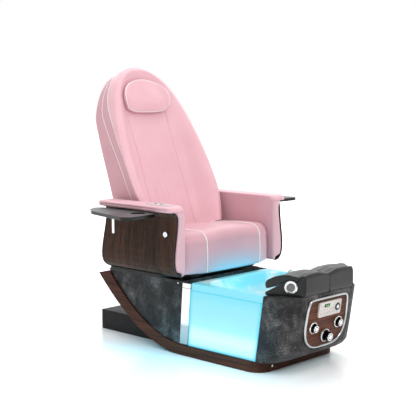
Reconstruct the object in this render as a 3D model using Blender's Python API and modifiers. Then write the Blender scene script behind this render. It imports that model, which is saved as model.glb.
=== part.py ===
"""Pedicure spa chair: a reclining upholstered seat that slides over a sled base with a lit foot tub.

Units are metres and +Z is up. The sitter faces -Y, and left and right are the sitter's, so left is +X.
The origin is on the floor, under the middle of the whole chair.
"""

import math

import bmesh
import bpy
from mathutils import Matrix, Vector

# Fits between neighbours
GAP = 0.0003
RUN = 0.0006
LAYER_GAP = 0.0006

# Where the middle of the whole length lies, measured from the tub's rear edge
LENGTH_SHIFT = 0.0133

# Widths that the base shares
BODY_HALF = 0.300
SLED_PROUD = 0.010
BASE_HALF = BODY_HALF + SLED_PROUD

# Sled base: a thick walnut board that sweeps up behind
SLED_FRONT = -0.538
SLED_REAR = 0.637
SLED_TOP_REAR = 0.552
SLED_THICK = 0.055
SLED_RISE = 0.83
SLED_TOP_RISE = 0.984
SLED_POWER = 1.88
SLED_CORNER = 0.080
SLED_STEPS = 14

# Rear foot box
FOOT_HALF = 0.190
FOOT_FRONT = 0.200
FOOT_REAR = 0.755
FOOT_HEIGHT = 0.110

# Shells of the base
SHELL_WALL = 0.006
DECK_Z = 0.388
RIM_Z = 0.385
SHELL_REAR = 0.566
TRIM_REAR = 0.012
TRIM_WIDTH = 0.056
TRIM_LEAN = 0.072
TRIM_PROUD = 0.003
TRIM_THICK = 0.010

# Tub
TUB_FRONT = -0.500
TUB_LEAN = 0.15
TUB_SKIRT = 0.035
TUB_WALL = 0.005
RIM_WIDTH = 0.038
BOWL_HALF = BODY_HALF - RIM_WIDTH
BOWL_FRONT = -0.478
BOWL_REAR = -0.112
BOWL_FLOOR = 0.125
BOWL_CORNER = 0.110
BOWL_DRAFT = 0.050
PANEL_THICK = 0.007
LIGHT_Z = 0.325
LIGHT_HEIGHT = 0.014
LIGHT_THICK = 0.005
DRAIN_Y = -0.290
DRAIN_RADIUS = 0.030
JET_Z = 0.235
JET_RADIUS = 0.040
JET_DEPTH = 0.050

# Front shell and its leaning face
FACE_TOP = -0.714
FACE_LEAN = 0.154
FACE_HALF = 0.165
FACE_HALF_LOW = 0.140
FACE_HALF_Z = 0.200
FACE_BEND = 0.140
CHIN_Z = 0.105
CHIN_BACK = 0.062
SHELL_FOOT = 0.0555

# Control panel on the leaning face
PANEL_HEIGHT = 0.262
PANEL_CENTRE_Z = 0.238
PANEL_HALF_TOP = 0.157
PANEL_HALF_MID = 0.166
PANEL_HALF_LOW = 0.105
PANEL_STANDOFF = GAP
FRAME_WIDTH = 0.015
FRAME_PROUD = 0.012
PLATE_THICK = 0.004
KEYPAD_WIDTH = 0.176
KEYPAD_HEIGHT = 0.074
KEYPAD_THICK = 0.009
KEYPAD_UP = 0.068
KEYPAD_X = 0.010
DISPLAY_X = -0.018
DISPLAY_UP = 0.086
DISPLAY_WIDTH = 0.044
DISPLAY_HEIGHT = 0.018
KEY_RADIUS = 0.019
KEY_MARGIN = 0.010
KEY_TRAVEL = 0.0015
KNOB_RADIUS = 0.030
KNOB_LENGTH = 0.024
KNOB_ACROSS = 0.099
KNOB_DOWN = 0.018
DIVERTER_DOWN = 0.070
DIVERTER_RADIUS = 0.034
DIVERTER_LENGTH = 0.042
STEM_RADIUS = 0.006
KNOB_LOBES = 6

# Footrest on the front shell
REST_FRONT = -0.718
REST_TOP = 0.4905
REST_TIP = -0.536
REST_HALF = 0.195
REST_SWEEP = 0.080
REST_AXIS_Y = -0.655
REST_AXIS_Z = 0.430
REST_BOSS = 0.0355
REST_LIP = 0.4065
REST_REACH = 0.058
SHAFT_RADIUS = 0.008
CAP_RADIUS = 0.0325

# Spout at the tub's front edge
SPOUT_Y = -0.508
SPOUT_RADIUS = 0.006
SPOUT_HEIGHT = 0.078
SPOUT_REACH = 0.050

# Seat carriage
RAIL_X = 0.160
RAIL_WIDTH = 0.040
RAIL_WALL = 0.003
RAIL_HEIGHT = 0.0140
RAIL_FRONT = 0.030
RUNNER_SHEET = 0.002
RAIL_REAR = 0.540
PLATE_HEIGHT = 0.0195
PLATE_FRONT = -0.030
PLATE_REAR = 0.470
PLATE_HALF = 0.250
WING_HALF = 0.385

# Seat cushion
SEAT_HALF = 0.338
SEAT_PANEL_HALF = 0.206
SEAT_FRONT = -0.095
SEAT_WING_BACK = 0.053
SEAT_REAR = 0.308
SEAT_THICK = 0.222
SEAT_CROWN = 0.016
SEAT_FALL = 0.065

# Arms
ARM_INNER = 0.345
ARM_OUTER = 0.4265
ARM_TOP = 0.785
ARM_FRONT = -0.078
ARM_REAR = 0.476
FLANGE_OUTER = 0.458
FLANGE_THICK = 0.030
SKIN_THICK = 0.008
SKIN_CORNER = 0.045
ARM_ROLL = 0.032
ARM_ROLL_FROM = 0.730
ARM_ROLL_STATIONS = ((0, 0.84), (0.003, 0.93), (0.009, 0.99), (0.018, 1), (0.026, 1), (0.033, 1))
BOLT_CAP_RADIUS = 0.0145
BOLT_CAP_Y = 0.0
BOLT_CAP_Z = 0.640

# Trays on posts
TRAY_TOP = 0.747
TRAY_THICK = 0.017
POST_X = 0.465
POST_Y = 0.333
POST_RADIUS = 0.009
POST_BOTTOM = 0.620
CUP_RADIUS = 0.0375
CUP_X = 0.508
CUP_Y = 0.100
BRACKET_THICK = 0.020

# Arm control
CONTROL_LENGTH = 0.190
CONTROL_WIDTH = 0.052
CONTROL_THICK = 0.0035
CONTROL_Y = 0.060
BUTTON_LENGTH = 0.022
BUTTON_WIDTH = 0.011
BUTTON_PROUD = 0.002

# Backrest, measured along and square to its front plane from the recline axis
AXIS_Y = 0.345
AXIS_Z = 0.456
LEAN = math.radians(21.5)
BACK_FACE = 0.070
BACK_BOTTOM = 0.125
BACK_SHOULDER = 0.392
BACK_TOP = 1.077
BACK_HALF = 0.321
BACK_THICK = 0.107
CREST = 0.105
CREST_FROM = 0.292
CREST_LOSS = 0.097
CREST_START = 0.50
CREST_AT = 0.90
CREST_TURN = 0.014
BACK_NARROW = 0.055
PANEL_SEAM = 0.147
FAN_PITCH = 0.045
SEAM_TOP = 0.930
FAN_TOP = 0.490
FAN_DROP = 0.045
CHANNEL_DEPTH = 0.005
CHANNEL_HALF = 0.005
PILLOW_LOW = 0.806
PILLOW_HIGH = 0.996
PILLOW_HALF = 0.181
PILLOW_THICK = 0.058
PILLOW_BED = 0.012

# Depths of the backrest's seams and back, as (distance up, height out of the front plane)
FRONT_SEAM_EDGE = ((0.300, 0.080), (0.500, 0.066), (0.700, 0.024), (0.900, -0.034), (1.077, -0.050))
FRONT_SEAM_MIDDLE = -0.050
REAR_SEAM_EDGE = ((0.300, 0.046), (0.500, 0.024), (0.700, -0.031), (0.850, -0.078), (1.077, -0.072))
REAR_SEAM_MIDDLE = -0.082
BACK_EDGE = ((0.300, -0.100), (0.500, -0.090), (0.700, -0.104), (0.850, -0.124), (1.077, -0.088))
BACK_MIDDLE = ((0.500, -0.107), (0.700, -0.114), (0.850, -0.130), (1.077, -0.092))
BACK_EDGE_FROM = 0.74
SEAM_KNOTS = ((0, 0), (0.5, 0.12), (0.8, 0.6), (1, 1))

# Recline hinge
HINGE_SHAFT = 0.010
HINGE_X = 0.240
HINGE_PLATE = 0.006
MOTOR_RADIUS = 0.026
MOTOR_LENGTH = 0.120

# Water pump on the sled
PUMP_Y = 0.140
PUMP_RADIUS = 0.042

SEGMENTS = 24

SIDE = Matrix(((0, 0, 1, 0), (1, 0, 0, 0), (0, 1, 0, 0), (0, 0, 0, 1)))
FRONT = Matrix(((1, 0, 0, 0), (0, 0, -1, 0), (0, 1, 0, 0), (0, 0, 0, 1)))
PLAN = Matrix.Identity(4)


# ---------------------------------------------------------------- scene and mesh helpers


def clear_scene():
    for old in list(bpy.data.objects):
        bpy.data.objects.remove(old)


def new_collection(name):
    made = bpy.data.collections.new(name)
    bpy.context.scene.collection.children.link(made)
    return made


def material(name, colour, roughness, metallic=0.0, glow=0.0, alpha=1.0):
    made = bpy.data.materials.new(name)
    made.use_nodes = True
    shader = made.node_tree.nodes["Principled BSDF"]
    shader.inputs["Base Color"].default_value = (*colour, 1)
    shader.inputs["Roughness"].default_value = roughness
    shader.inputs["Metallic"].default_value = metallic
    shader.inputs["Alpha"].default_value = alpha
    shader.inputs["Emission Color"].default_value = (*colour, 1)
    shader.inputs["Emission Strength"].default_value = glow
    made.diffuse_color = (*colour, alpha)
    return made


def finish_mesh(build):
    """The mesh of a bmesh whose faces are turned outwards."""
    build.normal_update()
    bmesh.ops.recalc_face_normals(build, faces=build.faces)
    mesh = bpy.data.meshes.new("mesh")
    build.to_mesh(mesh)
    build.free()
    return mesh


def box(low, high):
    build = bmesh.new()
    bmesh.ops.create_cube(build, size=1)
    size = Vector(high) - Vector(low)
    middle = (Vector(high) + Vector(low)) / 2
    bmesh.ops.scale(build, vec=size, verts=build.verts)
    bmesh.ops.translate(build, vec=middle, verts=build.verts)
    return finish_mesh(build)


def rod(start, end, radius, segments=SEGMENTS, end_radius=None):
    """A cylinder, or a cone when the end has its own radius, from start to end."""
    start, end = Vector(start), Vector(end)
    build = bmesh.new()
    bmesh.ops.create_cone(
        build,
        cap_ends=True,
        segments=segments,
        radius1=radius,
        radius2=radius if end_radius is None else end_radius,
        depth=(end - start).length,
    )
    turn = (end - start).to_track_quat("Z", "Y").to_matrix().to_4x4()
    build.transform(Matrix.Translation((start + end) / 2) @ turn)
    return finish_mesh(build)


def prism(outline, low, high, frame, holes=()):
    """A flat outline in the frame's XY plane, with any holes, extruded from low to high along its Z."""
    curve = bpy.data.curves.new("outline", "CURVE")
    curve.dimensions = "2D"
    curve.fill_mode = "BOTH"
    curve.extrude = (high - low) / 2
    for points in (outline, *holes):
        spline = curve.splines.new("POLY")
        spline.points.add(len(points) - 1)
        for place, (u, v) in zip(spline.points, points):
            place.co = (u, v, 0, 1)
        spline.use_cyclic_u = True
    drawn = bpy.data.objects.new("outline", curve)
    bpy.context.scene.collection.objects.link(drawn)
    graph = bpy.context.evaluated_depsgraph_get()
    mesh = bpy.data.meshes.new_from_object(drawn.evaluated_get(graph))
    bpy.data.objects.remove(drawn)
    build = bmesh.new()
    build.from_mesh(mesh)
    bmesh.ops.remove_doubles(build, verts=build.verts, dist=1e-6)
    build.transform(frame @ Matrix.Translation((0, 0, (low + high) / 2)))
    return finish_mesh(build)


def loft(sections, closed=True, capped=True, split=False):
    """A skin through sections that have as many points each, in order.

    When split, each face is cut along the diagonal that leans away from the middle line, so that two
    neighbouring layers are faceted alike.
    """
    build = bmesh.new()
    rings = [[build.verts.new(place) for place in section] for section in sections]
    count = len(rings[0])
    for low, high in zip(rings, rings[1:]):
        for i in range(count if closed else count - 1):
            j = (i + 1) % count
            if not split:
                build.faces.new((low[i], low[j], high[j], high[i]))
            elif abs(low[i].co.x) <= abs(low[j].co.x):
                build.faces.new((low[i], low[j], high[j]))
                build.faces.new((low[i], high[j], high[i]))
            else:
                build.faces.new((low[i], low[j], high[i]))
                build.faces.new((low[j], high[j], high[i]))
    if capped:
        build.faces.new(rings[0][::-1])
        build.faces.new(rings[-1])
        return finish_mesh(build)
    mesh = bpy.data.meshes.new("mesh")
    build.to_mesh(mesh)
    build.free()
    return mesh


def place(name, mesh, finish, origin=(0, 0, 0), sharp=40):
    """Makes a sub-part of a mesh drawn in the chair's own frame, with its origin at a given point."""
    mesh.name = name
    mesh.materials.clear()
    mesh.materials.append(finish)
    mesh.shade_smooth()
    mesh.set_sharp_from_angle(angle=math.radians(sharp))
    mesh.transform(Matrix.Translation(-Vector(origin)))
    made = bpy.data.objects.new(name, mesh)
    made.location = origin
    parts.objects.link(made)
    return made


def turned(name, profile, finish, origin, axis=(0, 0, 1), steps=SEGMENTS):
    """A turned part: a profile of (radius, height) pairs, run top to bottom down its outer side."""
    mesh = bpy.data.meshes.new(name)
    points = [(radius, 0, height) for radius, height in profile]
    edges = [(i, i + 1) for i in range(len(points) - 1)]
    mesh.from_pydata(points, edges, [])
    mesh.materials.append(finish)
    made = bpy.data.objects.new(name, mesh)
    made.rotation_mode = "QUATERNION"
    made.rotation_quaternion = Vector(axis).to_track_quat("Z", "Y")
    made.location = origin
    parts.objects.link(made)
    screw = made.modifiers.new("turn", "SCREW")
    screw.steps = steps
    screw.render_steps = steps
    screw.use_merge_vertices = True
    screw.merge_threshold = 0.00005
    screw.use_smooth_shade = True
    return made


def cut(target, mesh, operation="DIFFERENCE"):
    cutter = bpy.data.objects.new(target.name + "_cutter", mesh)
    cutter.display_type = "WIRE"
    cutter.hide_render = True
    cutters.objects.link(cutter)
    boolean = target.modifiers.new("cut", "BOOLEAN")
    boolean.operation = operation
    boolean.object = cutter
    return target


def bevel(target, width, segments=2, angle=40):
    rounding = target.modifiers.new("rounding", "BEVEL")
    rounding.width = width
    rounding.segments = segments
    rounding.limit_method = "ANGLE"
    rounding.angle_limit = math.radians(angle)
    return target


def thicken(target, wall, side):
    """Gives an open surface its wall, on the side of its normals (1) or behind them (-1)."""
    solid = target.modifiers.new("wall", "SOLIDIFY")
    solid.thickness = wall
    solid.offset = side
    solid.use_even_offset = True
    return target


# ---------------------------------------------------------------- shape helpers


def spread(low, high, count):
    return [low + (high - low) * i / (count - 1) for i in range(count)]


def smooth(value):
    value = min(max(value, 0.0), 1.0)
    return value * value * (3 - 2 * value)


def between(value, table):
    """Straight-line reading of a table of (key, value) pairs sorted by key."""
    if value <= table[0][0]:
        return table[0][1]
    for (a, low), (b, high) in zip(table, table[1:]):
        if value <= b:
            return low + (high - low) * (value - a) / (b - a)
    return table[-1][1]


def rounded(corners, steps=4):
    """Points of an outline of (u, v, radius) corners, each turned into an arc."""
    points = []
    count = len(corners)
    for i, (u, v, radius) in enumerate(corners):
        here = Vector((u, v))
        back = (Vector(corners[i - 1][:2]) - here).normalized()
        ahead = (Vector(corners[(i + 1) % count][:2]) - here).normalized()
        half = back.angle(ahead) / 2
        if radius <= 0:
            points.append((u, v))
            continue
        centre = here + (back + ahead).normalized() * (radius / math.sin(half))
        start = here + back * (radius / math.tan(half)) - centre
        sweep = start.angle_signed(here + ahead * (radius / math.tan(half)) - centre)
        for k in range(steps + 1):
            turn = -sweep * k / steps
            points.append(
                (
                    centre.x + start.x * math.cos(turn) - start.y * math.sin(turn),
                    centre.y + start.x * math.sin(turn) + start.y * math.cos(turn),
                )
            )
    return points


def arc(centre, radius, first, last, steps):
    """Points on a circle, from the first to the last angle in degrees."""
    return [
        (centre[0] + radius * math.cos(math.radians(a)), centre[1] + radius * math.sin(math.radians(a)))
        for a in spread(first, last, steps + 1)
    ]


def inset_line(points, distance):
    """An open line moved to its left by a distance."""
    moved = []
    for i, (u, v) in enumerate(points):
        a = Vector(points[max(i - 1, 0)])
        b = Vector(points[min(i + 1, len(points) - 1)])
        run = (b - a).normalized()
        moved.append((u - run.y * distance, v + run.x * distance))
    return moved


def sided(points, sign):
    return [(u * sign, v) for u, v in points]


# ---------------------------------------------------------------- base


def sled_bottom(y):
    return SLED_RISE * max(y, 0.0) ** SLED_POWER


def sled_top(y):
    return SLED_THICK + SLED_TOP_RISE * max(y, 0.0) ** SLED_POWER


def trim_edge(z, offset):
    """The leaning line of the trim band at a height, at an offset from its rear edge."""
    return TRIM_REAR - (z - SHELL_FOOT) * TRIM_LEAN + offset


def tub_edge(z):
    """The leaning seam between the tub and the front shell."""
    return TUB_FRONT - (z - SLED_THICK) * TUB_LEAN


def make_sled():
    bottom = [(y, sled_bottom(y)) for y in spread(0, SLED_REAR, SLED_STEPS)]
    top = [(y, sled_top(y)) for y in spread(SLED_TOP_REAR, 0, SLED_STEPS)]
    outline = [(SLED_FRONT, 0)] + bottom + top + [(SLED_FRONT, SLED_THICK)]
    sled = place("sled_frame", prism(outline, -BASE_HALF, BASE_HALF, SIDE), walnut)
    plan = rounded(
        [
            (-BASE_HALF, SLED_FRONT, SLED_CORNER),
            (BASE_HALF, SLED_FRONT, SLED_CORNER),
            (BASE_HALF, SLED_REAR + 1, 0),
            (-BASE_HALF, SLED_REAR + 1, 0),
        ],
        6,
    )
    cut(sled, prism(plan, -1, 1, PLAN), "INTERSECT")
    bevel(sled, 0.004, 1, 60)
    x = SLED_CORNER + 0.010 - BASE_HALF
    y = SLED_FRONT - GAP
    screw = rod((x, y, SLED_THICK / 2), (x, y - 0.003, SLED_THICK / 2), 0.006, 12)
    place("frame_screw", screw, chrome)


def make_foot_box():
    """A low black box that carries the rocker's tail, cut to the rocker's underside."""
    facets = [(y, sled_bottom(y)) for y in spread(0, SLED_REAR, SLED_STEPS)]
    meets = between(FOOT_HEIGHT, [(z, y) for y, z in facets])
    inner = [y for y, z in facets if FOOT_FRONT < y < meets]
    under = [(y, between(y, facets) - 2 * GAP) for y in [meets, *reversed(inner), FOOT_FRONT]]
    outline = [(FOOT_FRONT, 0), (FOOT_REAR, 0), (FOOT_REAR, FOOT_HEIGHT), (meets + 0.001, FOOT_HEIGHT)]
    foot = place("rear_foot", prism(outline + under, -FOOT_HALF, FOOT_HALF, SIDE), black_plastic)
    bevel(foot, 0.006, 2, 60)


def make_rear_shell():
    """A hollow housing, open below, whose foot follows the rocker."""
    ys = [y for y in spread(0, SLED_TOP_REAR, SLED_STEPS)]
    foot = [(y, sled_top(y) + GAP) for y in ys if y > trim_edge(sled_top(y), 0) + 0.002]
    facets = [(y, sled_top(y)) for y in ys]
    front = trim_edge(SLED_THICK, GAP)
    front_low = (front, between(front, facets) + GAP)
    front_high = (trim_edge(DECK_Z, GAP), DECK_Z)
    outline = [front_low] + foot + [(SHELL_REAR, DECK_Z)] + [front_high]
    shell = place("rear_shell", prism(outline, -BODY_HALF, BODY_HALF, SIDE), stone)
    bevel(shell, 0.008, 2, 60)
    inner_top = DECK_Z - SHELL_WALL
    inner = [
        (trim_edge(0, GAP) + SHELL_WALL, -0.1),
        (SLED_TOP_REAR, -0.1),
        (SLED_TOP_REAR - 0.060, inner_top),
        (trim_edge(DECK_Z, GAP) + SHELL_WALL, inner_top),
    ]
    half = BODY_HALF - SHELL_WALL
    cut(shell, prism(inner, -half, half, SIDE))


def make_trim_bands():
    for side, sign in (("left", 1), ("right", -1)):
        low, high = SHELL_FOOT + 0.0015, RIM_Z
        outline = [
            (trim_edge(low, -TRIM_WIDTH), low),
            (trim_edge(low, 0), low),
            (trim_edge(high, 0), high),
            (trim_edge(high, -TRIM_WIDTH), high),
        ]
        outer = BODY_HALF + TRIM_PROUD
        ends = sorted((sign * outer, sign * (outer - TRIM_THICK)))
        band = place("trim_band_" + side, prism(outline, *ends, SIDE), chrome)
        bevel(band, 0.0025, 2, 60)


def ring(half, front, rear, radius, z, steps=5):
    """A rounded rectangle in plan, as points at one height."""
    corners = [(half, front, radius), (half, rear, radius), (-half, rear, radius), (-half, front, radius)]
    return [(x, y, z) for x, y in rounded(corners, steps)]


def make_tub():
    """A basin with a flat rim and a skirt, one even wall throughout."""
    outer = 0.012
    rings = []
    for inset, z in ((0, RIM_Z - TUB_SKIRT), (0, RIM_Z - 0.004), (0.004, RIM_Z)):
        front = tub_edge(z) + GAP + inset
        rear = trim_edge(z, -TRIM_WIDTH) - GAP - inset
        rings.append(ring(BODY_HALF - inset, front, rear, outer, z))
    rings += [
        ring(BOWL_HALF + 0.008, BOWL_FRONT - 0.008, BOWL_REAR + 0.008, BOWL_CORNER, RIM_Z),
        ring(BOWL_HALF, BOWL_FRONT, BOWL_REAR, BOWL_CORNER, RIM_Z - 0.008),
    ]
    depth = RIM_Z - 0.008 - BOWL_FLOOR
    for share, draft in ((0.45, 0.30), (0.78, 0.62), (0.93, 0.85), (1.0, 1.15)):
        sink = draft * BOWL_DRAFT
        rings.append(
            ring(
                BOWL_HALF - sink,
                BOWL_FRONT + sink,
                BOWL_REAR - 0.2 * sink,
                BOWL_CORNER - 0.3 * sink,
                RIM_Z - 0.008 - share * depth,
            )
        )
    mesh = loft(rings, closed=True, capped=False)
    build = bmesh.new()
    build.from_mesh(mesh)
    build.verts.ensure_lookup_table()
    count = len(rings[-1])
    build.faces.new(build.verts[-count:])
    build.normal_update()
    bmesh.ops.recalc_face_normals(build, faces=build.faces)
    if max(build.faces, key=lambda face: face.calc_area()).normal.z < 0:
        bmesh.ops.reverse_faces(build, faces=build.faces)
    build.to_mesh(mesh)
    build.free()
    tub = place("tub_bowl", mesh, glow_shell)
    thicken(tub, TUB_WALL, -1)
    hole = DRAIN_RADIUS * 0.7
    cut(tub, rod((0, DRAIN_Y, 0.05), (0, DRAIN_Y, BOWL_FLOOR + 0.05), hole))
    cut(tub, rod((0, BOWL_REAR - 0.1, JET_Z), (0, BOWL_REAR + 0.05, JET_Z), JET_RADIUS + RUN))


def make_tub_panels():
    """Lit side panels between the sled and the tub's skirt."""
    for side, sign in (("left", 1), ("right", -1)):
        low = SLED_THICK + GAP
        high = RIM_Z - TUB_SKIRT - GAP
        outline = [
            (tub_edge(low) + GAP, low),
            (trim_edge(low, -TRIM_WIDTH) - GAP, low),
            (trim_edge(high, -TRIM_WIDTH) - GAP, high),
            (tub_edge(high) + GAP, high),
        ]
        ends = sorted((sign * BODY_HALF, sign * (BODY_HALF - PANEL_THICK)))
        panel = place("tub_panel_" + side, prism(outline, *ends, SIDE), glow_shell)
        bevel(panel, 0.0015, 1, 60)


def make_light_strip():
    """One lamp rail that runs behind both side panels and round the back of the basin."""
    out = BODY_HALF - PANEL_THICK - GAP
    back = trim_edge(RIM_Z, -TRIM_WIDTH) - 0.016
    low, high = LIGHT_Z, LIGHT_Z + LIGHT_HEIGHT
    front = TUB_FRONT + 0.030
    thick = LIGHT_THICK
    outline = [
        (out, front),
        (out, back),
        (-out, back),
        (-out, front),
        (thick - out, front),
        (thick - out, back - thick),
        (out - thick, back - thick),
        (out - thick, front),
    ]
    place("light_strip", prism(outline, low, high, PLAN), light)


def make_drain():
    floor = BOWL_FLOOR
    bore = DRAIN_RADIUS * 0.7 - RUN
    flange = [
        (bore - 0.005, floor + 0.003),
        (DRAIN_RADIUS - 0.002, floor + 0.003),
        (DRAIN_RADIUS, floor + 0.0015),
        (DRAIN_RADIUS, floor + GAP),
        (bore, floor + GAP),
        (bore, floor - 0.045),
        (bore - 0.005, floor - 0.045),
        (bore - 0.005, floor + 0.003),
    ]
    turned("drain_fitting", flange, chrome, (0, DRAIN_Y, 0))
    lid = floor + 0.003 + GAP
    stem = 0.004
    profile = [
        (0, lid + 0.005),
        (bore * 0.7, lid + 0.0042),
        (bore + 0.002, lid + 0.002),
        (bore + 0.002, lid),
        (stem, lid),
        (stem, lid - 0.035),
        (0, lid - 0.035),
    ]
    turned("drain_stopper", profile, chrome, (0, DRAIN_Y, 0))


def make_jet():
    """The whirlpool jet in the tub's rear wall: a cup, a turning impeller and a pierced cover."""
    face = BOWL_REAR - 0.2 * BOWL_DRAFT - GAP
    centre = (0, face, JET_Z)
    cup = [
        (JET_RADIUS - 0.004, 0.006),
        (JET_RADIUS + 0.014, 0.004),
        (JET_RADIUS + 0.014, GAP),
        (JET_RADIUS, GAP),
        (JET_RADIUS, -JET_DEPTH),
        (0, -JET_DEPTH),
        (0, 0.005 - JET_DEPTH),
        (JET_RADIUS - 0.004, 0.005 - JET_DEPTH),
        (JET_RADIUS - 0.004, 0.006),
    ]
    turned("jet_housing", cup, black_plastic, centre, (0, -1, 0))
    hub_back = face + JET_DEPTH - 0.005 - GAP
    hub = rod((0, hub_back, JET_Z), (0, face + 0.004, JET_Z), 0.009, 16)
    impeller = place("jet_impeller", hub, white_plastic, (0, face, JET_Z))
    for k in range(2):
        blade = box(
            (-JET_RADIUS + 0.008, face + 0.012, JET_Z - 0.0015),
            (JET_RADIUS - 0.008, hub_back - 0.008, JET_Z + 0.0015),
        )
        turn = Matrix.Rotation(math.radians(90 * k), 4, "Y")
        shift = Matrix.Translation((0, face, JET_Z))
        blade.transform(shift @ turn @ shift.inverted())
        cut(impeller, blade, "UNION")
    out = face - 0.006 - GAP
    cover = place(
        "jet_cover",
        rod((0, out, JET_Z), (0, out - 0.006, JET_Z), JET_RADIUS + 0.012, SEGMENTS, JET_RADIUS),
        chrome,
    )
    holes = [
        rod(
            (0.024 * math.cos(a), out + 0.01, JET_Z + 0.024 * math.sin(a)),
            (0.024 * math.cos(a), out - 0.02, JET_Z + 0.024 * math.sin(a)),
            0.006,
            10,
        )
        for a in (math.radians(60 * k) for k in range(6))
    ]
    for hole in holes:
        cut(cover, hole)


# ---------------------------------------------------------------- front shell and controls


def face_y(z):
    """The front of the shell at a height: a lean, then a chin that tucks under."""
    y = FACE_TOP + (RIM_Z - z) * FACE_LEAN
    if z < CHIN_Z:
        share = (CHIN_Z - z) / (CHIN_Z - SHELL_FOOT)
        y += CHIN_BACK * share**1.8
    return y


def face_half(z):
    return between(z, [(SHELL_FOOT, FACE_HALF_LOW), (FACE_HALF_Z, FACE_HALF)])


def shell_plan(z, steps=7):
    """Half of the shell's outline at a height, from the middle of the front round to the seam."""
    front = face_y(z)
    half = face_half(z)
    bend = min(front + FACE_BEND, tub_edge(z) - 0.020)
    points = [(0, front), (half * 0.5, front), (half, front)]
    for k in range(1, steps + 1):
        angle = math.radians(90 * k / steps)
        reach = math.sin(angle) ** 0.85
        rise = 1 - math.cos(angle) ** 0.85
        points.append((half + (BODY_HALF - half) * reach, front + (bend - front) * rise))
    points.append((BODY_HALF, tub_edge(z) - GAP))
    return points


def make_front_shell():
    """A hollow moulded nose, open behind and below, with a flat deck for the footrest."""
    heights = [SHELL_FOOT, 0.066, 0.082, CHIN_Z, 0.200, 0.300, RIM_Z - 0.010, RIM_Z - 0.003]
    rows = []
    for z in heights:
        half = shell_plan(z)
        line = [(-x, y) for x, y in reversed(half)] + half[1:]
        rows.append([(x, y, z) for x, y in line])
    for inset, z in ((0.002, RIM_Z), (0.030, RIM_Z), (0.090, RIM_Z)):
        half = shell_plan(RIM_Z)
        line = [(-x, y) for x, y in reversed(half)] + half[1:]
        seam = half[-1][1]
        row = []
        for x, y in line:
            share = 1 - inset / BODY_HALF
            row.append((x * share, seam + (y - seam) * (1 - inset / 0.165), z))
        rows.append(row)
    mesh = loft(rows, closed=False, capped=False)
    build = bmesh.new()
    build.from_mesh(mesh)
    build.verts.ensure_lookup_table()
    count = len(rows[-1])
    build.faces.new(build.verts[-count:])
    build.normal_update()
    bmesh.ops.recalc_face_normals(build, faces=build.faces)
    if max(build.faces, key=lambda face: face.calc_center_median().z).normal.z < 0:
        bmesh.ops.reverse_faces(build, faces=build.faces)
    build.to_mesh(mesh)
    build.free()
    shell = place("front_shell", mesh, stone)
    thicken(shell, SHELL_WALL, -1)
    window = prism(panel_outline(0.030), -0.05, 0.05, panel_frame_matrix())
    cut(shell, window)


def panel_frame_matrix(out=0.0):
    """A frame on the leaning face: X across, Y up the face, Z out of it."""
    lean = math.atan(FACE_LEAN)
    normal = Vector((0, -math.cos(lean), -math.sin(lean)))
    up = Vector((0, -math.sin(lean), math.cos(lean)))
    across = Vector((1, 0, 0))
    centre = Vector((0, face_y(PANEL_CENTRE_Z), PANEL_CENTRE_Z)) + normal * out
    turn = Matrix((across, up, normal)).transposed().to_4x4()
    return Matrix.Translation(centre) @ turn


def panel_outline(inset):
    top = PANEL_HEIGHT / 2 - inset
    return rounded(
        [
            (PANEL_HALF_TOP - inset, top, max(0.026 - inset, 0.006)),
            (-PANEL_HALF_TOP + inset, top, max(0.026 - inset, 0.006)),
            (-PANEL_HALF_MID + inset, -0.020, 0.060),
            (-PANEL_HALF_LOW + inset * 0.6, -top, 0.050),
            (PANEL_HALF_LOW - inset * 0.6, -top, 0.050),
            (PANEL_HALF_MID - inset, -0.020, 0.060),
        ],
        7,
    )


def knob(name, across, up, radius, length, finish):
    """A lobed knob with its stem, which turns about the panel's normal."""
    panel = panel_frame_matrix()
    base = PANEL_STANDOFF + PLATE_THICK + GAP
    rows = []
    stem_back = -0.020
    for r, out, lobe in (
        (STEM_RADIUS, stem_back, 0),
        (STEM_RADIUS, base, 0),
        (radius * 0.94, base + GAP, 0),
        (radius, base + length * 0.12, 0),
        (radius * 0.96, base + length * 0.24, 0),
        (radius * 0.70, base + length * 0.34, 0.04),
        (radius * 0.74, base + length * 0.50, 0.14),
        (radius * 0.68, base + length * 0.90, 0.14),
        (radius * 0.58, base + length, 0.06),
    ):
        row = []
        for k in range(SEGMENTS):
            a = 2 * math.pi * k / SEGMENTS
            reach = r * (1 - lobe * (0.5 + 0.5 * math.cos(KNOB_LOBES * a)))
            row.append(Vector((across + reach * math.cos(a), up + reach * math.sin(a), out)))
        rows.append([panel @ point for point in row])
    return place(name, loft(rows), finish, panel @ Vector((across, up, base)))


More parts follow.
